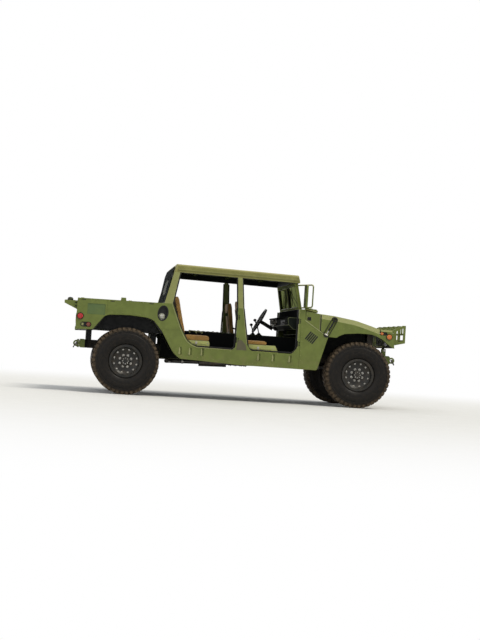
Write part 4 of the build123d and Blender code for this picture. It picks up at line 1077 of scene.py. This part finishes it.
# Front guard: feet bolted to the hood, and its bars' bolts
feet = Shape()
for y in (170, 510, 850):
    for z, x in ((1100, 2112), (932, 2138)):
        feet.box((x - 6, x + 5), about(y, 34), about(z, 26))
        feet.bolts([(x + 5, y + side, z) for side in (-22, 22)], AHEAD, 7, 6)
    feet.bolts([(2339.5, y, z) for z in (998, 1093, 1199)], AHEAD, 6, 5)
feet.pair("guard_feet", "olive_paint", "hood", WORN_AND_LIT, 1.5)


def hood_z(x):
    """Height of the hood's top along the car."""
    line = ((1067, 1304), (1263, 1288), (1591, 1239), (1818, 1174), (1942, 1134), (2105, 1134))
    for (x_low, z_low), (x_high, z_high) in zip(line, line[1:]):
        if x <= x_high:
            return z_low + (z_high - z_low) * (x - x_low) / (x_high - x_low)
    return line[-1][1]


def rib(x, y, z, half):
    """Section of a swaged rib that stands on a surface and runs along the car."""
    section = ((-half, -2), (-half * 0.6, 5), (half * 0.6, 5), (half, -2))
    return [(x, y + side, z + rise) for side, rise in section]


# Hood top: lifting rings, two swaged ribs and rivets along the edges and round the slots
fittings, swages, hood_rivets = Shape(), Shape(), Shape()
x, y = 2040, 420
z = hood_z(x)
fittings.box(about(x, 30), about(y, 20), (z - 4, z + 5))
ring = [(x + ahead, z + rise) for ahead, rise in ((-18, 2), (-16, 22), (0, 32), (16, 22), (18, 2))]
fittings.line(ring, y, 6, 10)
fittings.bolts([(x + side, y, z + 4) for side in (-24, 24)], UP, 5, 4, washer=False)
for y, x in product((330, 720), range(1130, 1850, 24)):
    rings = []
    for station in (x, x + 24):
        half = max(4, 26 * min(1, (station - 1120) / 60, (1856 - station) / 60 + 0.1))
        rings.append(rib(station, y, hood_z(station), half))
    swages.loft(rings)
hood_rivets.rivets([(x, 985, hood_z(x) - 0.5) for x in range(1090, 1900, 58)], UP)
for y in range(-940, 941, 94):
    hood_rivets.rivets([(1086, y, hood_z(1086))], UP)
    if abs(y) > 180:
        hood_rivets.rivets([(2070, y, 1134)], UP)
spots = (
    (1090, 1180), (1090, 1120), (1090, 1075), (1330, 1090), (1400, 1110), (1480, 1118),
    (1570, 1122), (1660, 1122), (1750, 1120), (1840, 1112), (1920, 1090),
)
hood_rivets.rivets([(x, BODY_HALF, z) for x, z in spots], LEFT)
fittings.pair("hood_lifting_rings", "olive_paint", "hood", bevel=1.5)
swages.pair("hood_ribs", "olive_paint", "hood")
hood_rivets.pair("hood_rivets", "olive_paint", "hood")

# Bolts of the bumpers, of the tow eyes and of the hood's hinge
bumper_bolts = Shape()
for y, z in product((120, 250, 360, 520), (680, 730)):
    bumper_bolts.bolts([(2199.5, y, z)], AHEAD, 9, 8)
    bumper_bolts.bolts([(-2309.5, y, z - 22)], BACK, 9, 8)
bumper_bolts.bolts([(2160, 332, 850)], LEFT, 13, 9)
bumper_bolts.bolts([(2160, 268, 850)], RIGHT, 13, 9)
for side, z in product((-21, 21), (655, 705)):
    bumper_bolts.bolts([(-2324.5, 430 + side, z)], BACK, 6, 5)
    bumper_bolts.bolts([(2214.5, 450 + side, z + 25)], AHEAD, 6, 5)
bumper_bolts.pair("bumper_bolts", "dark_metal", material=BOLT)

# Air intake: screen under its cap, strap, bolts, and a black plate as painted shade in the
# inspection recess
CAP_X, CAP_Y, CAP_WAY = 955, -840, (0.16, 0, 1)
intake, screen = Shape(), Shape()
for spot in circle((CAP_X, CAP_Y, 0), 83, AHEAD, LEFT, 36):
    screen.box(about(spot.x, 1.6), about(spot.y, 1.6), (1322, 1352))
screen.turned([(0, 84), (3, 85), (6, 84)], (CAP_X, CAP_Y, 1334), UP, 36)
# Black plate in the inspection recess: painted shade
screen.box((874, 928), (-1061, -1059), (1200, 1248))
screen.piece("intake_screen", "black_plastic")
ring = [(0, 95), (5, 97), (10, 95), (10, 90), (0, 90)]
intake.turned(ring, (CAP_X, CAP_Y, 1342), CAP_WAY, 40, closed=True)
intake.turned([(0, 12), (6, 12), (10, 8)], (CAP_X + 5, CAP_Y, 1366), CAP_WAY, 12)
intake.line([(CAP_X - 11, 1379), (CAP_X + 21, 1374)], CAP_Y, 3.5)
spots = (
    (875, -1050), (940, -1050), (1005, -1050), (1045, -1000), (1045, -760), (875, -680),
    (1045, -680),
)
intake.bolts([(x, y, 1326 - (x - 852) * 26 / 212) for x, y in spots], UP, 5, 4)
intake.rivets([(x, -1070, z) for x, z in product((868, 1050), (1245, 1290))], RIGHT)
intake.piece("intake_fittings", "olive_paint", material=WORN_AND_LIT)

# Louvre: black edging round its slots, painted shade in the slots
louvre = Shape()
for step in range(-2, 3):
    slot = stadium(946 + 24 * step, 958 - 15.5 * step, 140, 20, radians(54), 6)
    louvre.slab(slot, (1070, 1081.2))
louvre.pair("louvre_shade_edging", "black_plastic", bevel=0.5)

# Rolled edge of the front panel below the seam, and the edge beside the hood, lighter as a painted
# highlight
folds = Shape()
folds.line([(846, 1196), (1180, 982)], 1080, 5)
folds.line([(1056, 1296), (1056, 1070)], 1072, 4)
folds.pair("panel_fold_highlights", "olive_paint", material=WORN_AND_LIT)

# Windshield: rubber round the panes, wipers, bolts of the hinges and of the top edge
SHIELD_LEAN, SHIELD_FOOT = radians(11), Vector((800, 0, 1352))
SHIELD_UP = Vector((-sin(SHIELD_LEAN), 0, cos(SHIELD_LEAN)))
SHIELD_OUT = Vector((cos(SHIELD_LEAN), 0, sin(SHIELD_LEAN)))
WIPER_WAY = (cos(SHIELD_LEAN), 0, 0.19)
PANE = ((35, 40), (900, 40), (870, 345), (35, 345))


def on_shield(y, climb, out=0.0):
    """A point of the windshield frame's front plane, from its foot up; out is forward."""
    return SHIELD_FOOT + Vector((0, y, 0)) + SHIELD_UP * climb + SHIELD_OUT * out


def tube_loop(shape, points, radius, sides=8):
    """A closed round seal along straight runs, each a little longer than its corners."""
    for a, b in zip(points, [*points[1:], points[0]]):
        a, b = Vector(a), Vector(b)
        reach = (b - a).normalized() * radius * 0.6
        shape.tube([a - reach, b + reach], radius, sides)


shield_seals, wipers, hinges = Shape(), Shape(), Shape()
for out in (-15, -31):
    tube_loop(shield_seals, [on_shield(*corner, out) for corner in PANE], 6.5)
for foot, tip in ((600, 300), (300, 90)):
    wipers.turned([(0, 15), (12, 15), (16, 10), (26, 9)], on_shield(foot, 17), WIPER_WAY, 16)
    elbow, end = on_shield(foot, 17, 20), on_shield(tip, 200, 2)
    wipers.tube([elbow, elbow.lerp(end, 0.5) + Vector((8, 0, 0)), end], [5, 4.5, 4], 8)
    blade = [(tip - 95 + 38 * k, 76 + 62 * k) for k in range(5)]
    wipers.tube([on_shield(*spot, -13) for spot in blade], 5, 8)
    wipers.tube([on_shield(*spot, -17) for spot in blade], 2.4, 6)
    for spot in (blade[1], blade[3]):
        wipers.tube([end, on_shield(*spot, -11)], 3, 8)
spots = [*product((210, 250, 740, 780), (10, 32)), *product((80, 320, 560, 800), (360,))]
hinges.bolts([on_shield(*spot) for spot in spots], WIPER_WAY, 6, 5)
shield_seals.pair("windshield_seals", "black_plastic")
wipers.pair("wipers", "black_plastic")
hinges.pair("windshield_bolts", "dark_metal", material=BOLT)

# Mirrors: rubber rim round the face, ribs on the back, clamps on the hoop
mirror_rims, mirror_ribs = Shape(), Shape()
rim_line = [(823, y, z) for y, z in rectangle((989, 1135), (1394, 1686))]
tube_loop(mirror_rims, rim_line, 4.5)
for height in range(1440, 1641, 50):
    mirror_ribs.box((854, 859), (1002, 1122), about(height, 3))
for height in (1420, 1660):
    mirror_ribs.pin(12, 15, (842, 1062, height), LEFT, 16)
mirror_rims.pair("mirror_rims", "black_plastic")
mirror_ribs.pair("mirror_ribs", "olive_paint", bevel=1)

# Roof: raised ribs and edge rivets outside, bows inside
roof_ribs, roof_rivets, bows = Shape(), Shape(), Shape()
for y in (150, 450, 750):
    rings = []
    for k in range(23):
        x = -960 + 1640 * k / 22
        top = surface("roof", (x, y, 2200), DOWN).z
        rings.append(rib(x, y, top, 24 if 0 < k < 22 else 3))
    roof_ribs.loft(rings)
for k in range(29):
    x = -970 + 1690 * k / 28
    spot = surface("roof", (x, 1400, 1836 - 0.0275 * (x + 970)), RIGHT)
    roof_rivets.rivets([spot], (0, 1, 0.15), 6)
for y in range(60, 900, 120):
    roof_rivets.rivets([surface("roof", (1100, y, 1805), BACK)], AHEAD, 6)
for x in (-620, -120, 380):
    under = surface("roof", (x, 300, 1500), UP).z
    bows.box(about(x, 22), (-900, 900), (under - 26, under + 4))
    bows.bolts([(x, y, under - 26) for y in (-820, -420, 0, 420, 820)], DOWN, 6, 5)
roof_ribs.pair("roof_ribs", "olive_paint", material=OWN_FINISH["roof"])
roof_rivets.pair("roof_rivets", "olive_paint", material=OWN_FINISH["roof"])
bows.piece("roof_bows", "cab_paint", bevel=2)

# Dashboard: dials with needles and ticks, switches, a closed panel and a grab rail
DIALS = (
    (270, 1178, 34), (350, 1178, 34), (440, 1180, 46), (540, 1180, 46), (630, 1178, 34),
    (710, 1178, 34),
)
DIAL_WAY = (-1, 0, 0.1)
dial_rings, dial_faces, dial_marks, switches = Shape(), Shape(), Shape(), Shape()
for y, z, r in DIALS:
    spot = surface("dashboard", (0, y, z), AHEAD)
    ring = [(-2, r), (9, r), (12, r + 3), (9, r + 7), (-2, r + 8)]
    dial_rings.turned(ring, spot, DIAL_WAY, 32, closed=True)
    dial_faces.turned([(-1, r), (2, r)], spot, DIAL_WAY, 32)
    for k in range(9):
        turn = radians(-120 + 30 * k)
        start, way = spot + Vector((-3.2, 0, 0)), Vector((0, sin(turn), cos(turn)))
        dial_marks.tube([start + way * (r * share) for share in (0.74, 0.93)], 1.0, 6)
    needle = [spot + Vector((-4, 0, 0)), spot + Vector((-4, r * -0.5, r * 0.55))]
    dial_marks.tube(needle, 1.3, 6)
    dial_marks.turned([(0, 4), (3, 3)], spot + Vector((-3, 0, 0)), BACK, 12)
for y in range(250, 731, 60):
    spot = surface("dashboard", (0, y, 1138), AHEAD)
    switches.turned([(-1, 9), (3, 9), (4, 6)], spot, BACK, 16)
    switches.tube([spot, spot + Vector((-20, 0, 6))], [3, 4], 8)
x = surface("dashboard", (0, -500, 1150), AHEAD).x
switches.box((x - 8, x + 6), (-700, -260), (1128, 1206))
spots = [(x - 8, y, z) for y, z in product((-690, -480, -270), (1136, 1198))]
switches.bolts(spots, BACK, 4, 3, washer=False)
rail = [
    (600, -760, 1150), (560, -762, 1152), (552, -780, 1153), (552, -920, 1153), (560, -938, 1152),
    (600, -940, 1150),
]
switches.tube(rail, 9, 12)
dial_rings.piece("dial_rings", "dark_metal", material=BOLT)
dial_faces.piece("dial_faces", "black_plastic")
dial_marks.piece("dial_marks", "mirror_face")
switches.piece("dash_switches", "black_plastic", bevel=0.8)

# Steering wheel: finger grips, hub cap and spoke bolts; a stalk on the column
TILT = radians(28)
COLUMN = Vector((cos(TILT), 0, -sin(TILT)))
RIM_UP, WHEEL_MIDDLE = Vector((sin(TILT), 0, cos(TILT))), Vector((400, 640, 1190))
grips, stalks = Shape(), Shape()
for turn, spot in zip(around(36), circle(WHEEL_MIDDLE, 191.5, RIM_UP, LEFT, 36)):
    tangent = cos(turn) * Vector(LEFT) - sin(turn) * RIM_UP
    grips.turned([(-6, 13.8), (-3, 14.8), (3, 14.8), (6, 13.8)], spot, tangent, 14)
hub = [(-4, 34), (6, 34), (10, 28), (12, 10)]
grips.turned(hub, WHEEL_MIDDLE - COLUMN * 12, -COLUMN, 28)
spots = circle(WHEEL_MIDDLE - COLUMN * 14, 24, RIM_UP, LEFT, 6)
grips.bolts(spots, -COLUMN, 3.5, 4, washer=False)
grips.piece("wheel_grips", "black_plastic", "steering_wheel")
foot = WHEEL_MIDDLE + COLUMN * 66
stalks.tube([WHEEL_MIDDLE + COLUMN * 60, foot + Vector((0, 190, 40))], [6, 4.5])
stalks.turned([(0, 9), (26, 10), (30, 6)], foot + Vector((0, 186, 39)), (0, 1, 0.2), 14)
stalks.piece("column_stalk", "black_plastic")

# Pedals on their arms, gear and transfer levers with knobs, hand brake
GAITER = [(-3, 60), (4, 58), (18, 34), (40, 16), (44, 10)]
KNOB = [(-14, 9), (-6, 20), (8, 24), (20, 20), (27, 9)]
pedals, levers = Shape(), Shape()
for y, wide, low in ((560, 34, 700), (440, 26, 690)):
    pedals.line([(800, 900), (770, 840), (752, low + 30)], y, 9, 10)
    pedals.slab([(748, low), (756, low - 4), (774, low + 62), (766, low + 66)], about(y, wide))
    for k in range(5):
        x, z = 746 + 3.2 * k, low + 6 + 12 * k
        pedals.tube([(x, side, z) for side in about(y, wide - 6)], 2.5, 8)
for x, y, reach, lean in ((330, 40, 190, -70), (250, 130, 120, -30)):
    levers.turned(GAITER, (x, y, 955), UP)
    levers.line([(x, 980), (x + lean * 0.4, 980 + reach * 0.6), (x + lean, 980 + reach)], y, 8, 12)
    levers.turned(KNOB, (x + lean, y, 985 + reach), UP, 20)
levers.tube([(120, 190, 958), (60, 190, 1010), (-60, 190, 1050)], [10, 10, 12], 12)
levers.box((95, 150), (172, 208), (950, 972))
pedals.piece("pedals", "black_plastic", bevel=1)
levers.piece("levers", "black_plastic")

# Tunnel: ribbed lid with latches, stowed bar along its right edge; ribbed mats in the wells
lid, lid_latches, mats, bars = Shape(), Shape(), Shape(), Shape()
lid.box((-700, -60), (-260, 260), (953, 964))
for x in range(-660, -115, 68):
    lid.box((x, x + 24), (-225, 225), (963, 969))
for x, side in product((-600, -380, -160), (-1, 1)):
    lid_latches.box(about(x, 16), signed(side, 262, 282), (954, 968))
    lid_latches.tube([(x - 12, side * 272, 970), (x + 12, side * 272, 970)], 3.5, 8)
for x_low, x_high, count in ((-470, -60, 15), (508, 790, 10)):
    mats.box((x_low, x_high), (446, 944), (558, 565))
    for k in range(count):
        x = x_low + 16 + (x_high - x_low - 32) * k / (count - 1)
        mats.box(about(x, 5), (462, 928), (564, 568.5))
bars.tube([(-750, -428, 962), (-541, -428, 948)], 7.5)
for x in (-735, -640, -556):
    bars.box(about(x, 9), (-436, -420), (928, 960 - (x + 735) * 0.066))
lid.piece("tunnel_lid", "cab_paint", bevel=2)
lid_latches.piece("lid_latches", "dark_metal", material=BOLT)
mats.pair("floor_mats", "black_plastic", bevel=1)
bars.piece("tunnel_bar", "olive_paint", material=WORN_AND_LIT)

# Seat boxes: hasps, corner bolts and a pressed panel
box_panels, box_bolts = Shape(), Shape()
for rear, front, low, high in ((-850, -492, 590, 800), (-20, 440, 590, 780)):
    panel = rectangle((rear + 40, front - 40), (low + 24, high - 24))
    tube_loop(box_panels, [(x, 961, z) for x, z in panel], 3.5)
    middle = (rear + front) / 2
    box_bolts.box(about(middle, 14), (959, 966), (high - 30, high + 6))
    box_bolts.line([(middle - 9, high - 16), (middle + 9, high - 16)], 970, 4)
    spots = product((rear + 14, front - 20), (960,), (low + 10, high - 12))
    box_bolts.bolts(spots, LEFT, 5, 4)
box_panels.pair("seat_box_panels", "olive_paint", material=OWN_FINISH["seat_boxes"])
box_bolts.pair("seat_box_hasps", "dark_metal", material=BOLT)

# Near-black lining below the windshield and padding round the dashboard's top edge: painted shade
# of the cab
lining = Shape()
lining.box((744, 754), (-978, 978), (1236, 1349))
lining.tube([(604, -985, 1230), (604, 985, 1230)], 12, 12)
lining_cloth = cloth("lining", (0.008, 0.010, 0.011), (0.015, 0.017, 0.017), 0.003, 0.02, 0.0)
lining.piece("cab_lining", "black_plastic", material=lining_cloth, bevel=3)

# Tailgate: pressed ribs, side latches, pulls and hinge knuckles
gate_ribs, gate_iron = Shape(), Shape()
for y in range(-600, 601, 200):
    rings = []
    for z, out in ((975, 0.2), (1000, 7), (1230, 7), (1255, 0.2)):
        section = ((-2362 - out, -12), (-2362 - out, 12), (-2360, 15), (-2360, -15))
        rings.append([(x, y + side, z) for x, side in section])
    gate_ribs.loft(rings)
for side in (-1, 1):
    y = side * 752
    gate_iron.box((-2372, -2363), about(y, 30), (1196, 1252))
    gate_iron.turned([(0, 9), (16, 9), (18, 7)], (-2372, y, 1238), BACK, 16)
    pull = [(-2384, y, 1238), (-2388, y - side * 26, 1222), (-2388, y - side * 62, 1219)]
    gate_iron.tube(pull, [6, 5.5, 4.5])
    gate_iron.bolts([(-2372, y + side * 20, z) for z in (1204, 1226)], BACK, 5, 4)
for y in (-600, -200, 200, 600):
    gate_iron.pin(34, 15, (-2364, y, 913), LEFT, 20)
    gate_iron.turned([(34, 10), (38, 10), (40, 8)], (-2364, y, 913), LEFT, 14)
gate_ribs.piece("tailgate_ribs", "olive_paint", "tailgate", bevel=1)
gate_iron.piece("tailgate_latches", "dark_metal", "tailgate", BOLT, 1)

# Cargo bed: rub strips with screws, rivets on the wheel housings and the front wall
strips, bed_bolts = Shape(), Shape()
for y in (70, 190, 310, 430):
    top = surface("cargo_bed", (-1800, y + 42, 1200), DOWN).z
    strips.box((-2280, -1230), about(y, 20), (top - 5, top + 3))
    for x in range(-2250, -1249, 125):
        bed_bolts.turned([(0, 7), (2, 6), (3, 3)], (x, y, top + 2.5), UP, 12)
for x, y in product((-2200, -1980, -1760, -1540, -1320), (575, 700, 830)):
    bed_bolts.rivets([surface("cargo_bed", (x, y, 1600), DOWN)], UP, 6)
for y in range(60, 560, 120):
    bed_bolts.rivets([surface("cargo_bed", (-1500, y, 1240), AHEAD)], BACK, 6)
strips.pair("bed_strips", "black_plastic", bevel=0.8)
bed_bolts.pair("bed_fasteners", "olive_paint", material=WORN_AND_LIT)

# Rear bumper: steps with raised grip, and the hitch plate, flat enough for the dropped tailgate
bumper_grips, hitch = Shape(), Shape()
for y in range(130, 540, 34):
    top = surface("rear_bumper", (-2270, y, 1000), DOWN).z
    bumper_grips.box((-2300, -2244), about(y, 5), (top - 1, top + 4))
hitch.box((-2338, -2329), (-74, 74), (622, 738))
hitch.bolts(product((-2338,), (-56, 56), (640, 720)), BACK, 10, 9)
boss = [(0, 34), (5, 34), (7, 24), (12, 22), (13, 12), (8, 11)]
hitch.turned(boss, (-2338, 0, 676), BACK)
bumper_grips.pair("bumper_grips", "olive_paint", material=WORN_AND_LIT, bevel=0.8)
hitch.piece("hitch_plate", "cast_metal", bevel=1)

# Shackles through the tow rings at both ends
BOW = (
    # distance out of the pin, across and down, in order round the shackle
    (0, -21, 0), (22, -22, 26), (36, -14, 52), (40, 0, 60), (36, 14, 52), (22, 22, 26), (0, 21, 0),
)
shackles = Shape()
for x, y, z, way in ((2245, 450, 705, 1), (-2350, 430, 680, -1)):
    shackles.pin(26, 9, (x, y, z), LEFT, 14)
    shackles.turned([(26, 15), (32, 15), (34, 12)], (x, y, z), LEFT, 6)
    shackles.tube([(x + way * out, y + side, z - down) for out, side, down in BOW], 8, 12)
shackles.pair("shackles", "cast_metal")

# Aerial bracket: base plate bolts, rubber boot and capped socket
aerial = Shape()
aerial.bolts(product((-2530, -2410), (-1005, -915), (1273,)), UP, 6, 5)
boot = [
    (0, 46), (6, 46), (10, 40), (16, 42), (22, 37), (28, 39), (34, 33), (40, 22), (44, 10),
]
aerial.turned(boot, (-2470, -960, 1273), UP, 28)
aerial.bolts(product((-2395, -2380), (-1020,), (1195, 1245)), RIGHT, 6, 5)
aerial.piece("aerial_base", "black_plastic", bevel=0.8)

# Bed covers' stanchion sockets along the top rails
sockets = Shape()
for x in (-2300, -1640):
    top = surface("body_side_left", (x, 1066, 1500), DOWN).z
    sockets.box(about(x, 22), (1056, 1076), (top - 3, top + 5))
    sockets.bolts([(x + side, 1066, top + 5) for side in (-13, 13)], UP, 4, 3, washer=False)
sockets.pair("rail_sockets", "olive_paint", material=WORN_AND_LIT, bevel=0.8)

# Underbody: boots on the half shafts, joints on the propshafts, bolts on the castings
SHAFT_Z = 560
BELLOWS = [(0, 52)]
for k in range(6):
    BELLOWS += [(6 + 14 * k, 50 - 4.6 * k), (13 + 14 * k, 41 - 4.6 * k)]
BELLOWS += [(92, 27)]
boots, joints, iron = Shape(), Shape(), Shape()
for axle, out in ((AXLE, -1), (-AXLE, 1)):
    for y, way in ((132, LEFT), (648, RIGHT)):
        boots.turned(BELLOWS, (axle, y, SHAFT_Z), way, 28)
        iron.turned([(2, 53), (9, 53)], (axle, y, SHAFT_Z), way, 28)
        iron.turned([(86, 28.5), (93, 28.5)], (axle, y, SHAFT_Z), way, 20)
    iron.bolts(circle((axle, 118, SHAFT_Z), 104, AHEAD, UP, 12), LEFT, 7, 8)
    iron.turned([(0, 14), (8, 14), (10, 10)], (axle + out * 90, 0, 486), (out * 0.9, 0, -0.4), 6)
boots.pair("shaft_boots", "black_plastic")
for x, way in ((170, 1), (1530, -1), (-110, -1), (-1530, 1)):
    place, axis, middle = (x, 0, SHAFT_Z), (way, 0, 0), (x + way * 44, 0, SHAFT_Z)
    joints.turned([(0, 56), (10, 56), (14, 42), (34, 40)], place, axis)
    joints.pin(46, 13, middle, LEFT, 14)
    joints.pin(46, 13, middle, UP, 14)
    joints.turned([(56, 36), (72, 40), (84, 31)], place, axis, 20)
    joints.bolts(circle((x + way * 10, 0, SHAFT_Z), 48, LEFT, UP, 4, 0.5), axis, 6, 7)
joints.piece("shaft_joints", "cast_metal")
iron.pair("casting_bolts", "dark_metal", material=BOLT)

# Control arms: pivot bushes with their bolts; the knuckles' ball joints are made further below
bushes, balls = Shape(), Shape()
for axle, (z, spread, ball_z) in product((AXLE, -AXLE), ((480, 150, 392), (770, 75, 700))):
    for side in (-1, 1):
        place = (axle + side * spread, 406, z)
        bushes.turned([(-30, 25), (-26, 29), (26, 29), (30, 25)], place, AHEAD, 20)
        nut = 33 if z < 500 and side > 0 else 44
        bushes.turned([(30, 13), (nut - 2, 13), (nut, 10)], place, (side, 0, 0), 6)
    ball = [(-26, 20), (-20, 32), (6, 34), (22, 27), (30, 18)]
    balls.turned(ball, (axle, 710, ball_z), UP)
    balls.bolts([(axle, 710, ball_z - 26)], DOWN, 13, 14)
bushes.pair("arm_bushes", "black_plastic")

# Engine and gearbox: covers, pan bolts, pulleys; transfer case bolts
engine_iron = Shape()
engine_iron.bolts(product(range(1080, 1640, 90), (-262, 262), (750,)), DOWN, 7, 7)
for side in (-1, 1):
    engine_iron.box((1090, 1590), signed(side, 130, 255), (1146, 1176))
    spots = [(x, side * 192, 1176) for x in (1120, 1240, 1360, 1480, 1565)]
    engine_iron.bolts(spots, UP, 7, 6)
engine_iron.turned([(0, 150), (24, 150), (34, 130), (40, 60)], (1340, 0, 1146), UP, 40)
for y, z, r in ((0, 905, 70), (-170, 1010, 48), (175, 985, 52), (0, 1060, 44)):
    pulley = [(0, r), (4, r), (8, r - 8), (14, r), (18, r - 8), (24, r), (26, r - 12)]
    engine_iron.turned(pulley, (1640, y, z), AHEAD, 32)
engine_iron.bolts(circle((1040, 0, 930), 1, (0, 215, 0), (0, 0, 160), 10), BACK, 8, 8)
engine_iron.bolts(product((-80, 0, 80, 140), (-108, 108), (490,)), DOWN, 7, 7)
engine_iron.piece("engine_covers", "cast_metal", bevel=1)

# Fuel tank straps, exhaust clamps and frame rail rivets
straps, clamps, rail_rivets = Shape(), Shape(), Shape()
for x in (-2060, -1920):
    tube_loop(straps, [(x, y, z) for y, z in rectangle((-303, 303), (458, 603))], 4, 6)
    straps.box(about(x, 20), (-301, 301), (456, 461))
    for side in (-1, 1):
        straps.box(about(x, 20), signed(side, 299, 304), (460, 600))
        straps.bolts([(x, side * 304, 590)], (0, side, 0), 8, 9)
straps.piece("tank_straps", "dark_metal", bevel=0.8)
for x, z in ((1200, 549), (500, 533), (-200, 520), (-800, 508)):
    ring = [(-14, 31), (-14, 34), (14, 34), (14, 31)]
    clamps.turned(ring, (x, -225, z), (1, 0, 0.02), 20, closed=True)
    clamps.line([(x, z + 32), (x, z + 62)], -225, 6)
    clamps.bolts([(x, -261, z + 8)], RIGHT, 6, 8)
clamps.piece("exhaust_clamps", "dark_metal", material=BOLT)
for x in range(-2200, 2050, 125):
    if abs(abs(x) - AXLE) > 130:
        rail_rivets.rivets([(x, 400, z) for z in (640, 722)], LEFT, 8)
rail_rivets.pair("rail_rivets", "black_paint")
balls.pair("ball_joints", "cast_metal")


# Pale floor, white surroundings and soft light
def floor_material():
    """Pale floor that fades to white far from the car."""
    g = Graph("pale_floor")
    far = g.node("VectorMath", "Value", {"operation": "LENGTH"}, i0=g.place)
    g.finish(g.mix(g.cloud(3, 6, 0.3, 0.7), (0.81, 0.81, 0.80), (0.83, 0.83, 0.82)), 0.9)
    glow = g.node("Emission", "Emission", i0=(1, 1, 1), i1=1.0)
    share = g.times(g.span(far, 4.0, 15.0), g.seen())
    both = g.node("MixShader", i0=share, i1=g.shader.outputs[0], i2=glow)
    g.join(both, g.tree.nodes["Material Output"].inputs["Surface"])
    return g.made


ground = bpy.data.meshes.new("floor")
corners = [(x, y, 0) for x, y in rectangle((-70, 70), (-70, 70))]
ground.from_pydata(corners, [], [(0, 1, 2, 3)])
ground.materials.append(floor_material())
floor = show("floor", ground)

studio = Graph("studio", "worlds")
soft = studio.node("Background", Color=(0.95, 0.98, 1.0), Strength=0.42)
white = studio.node("Background", Color=(1, 1, 1), Strength=1.0)
both = studio.node("MixShader", i0=studio.seen(), i1=soft, i2=white)
studio.join(both, studio.tree.nodes["World Output"].inputs["Surface"])
bpy.context.scene.world = studio.made

for name, direction, strength, spread, colour in (
    # broad soft suns: the way they shine, watts per square metre, degrees across
    ("key", (-0.5, 0.44, -0.95), 1.9, 24, (1.0, 0.95, 0.84)),
    ("fill", (0.5, 0.85, -0.35), 0.36, 60, (1, 1, 1)),
    ("rim", (0.2, -0.8, -0.5), 0.3, 50, (1, 1, 1)),
):
    light = bpy.data.lights.new(name, "SUN")
    light.energy, light.angle, light.color = strength, radians(spread), colour
    show(name, light).rotation_euler = Vector(direction).to_track_quat("-Z", "Y").to_euler()
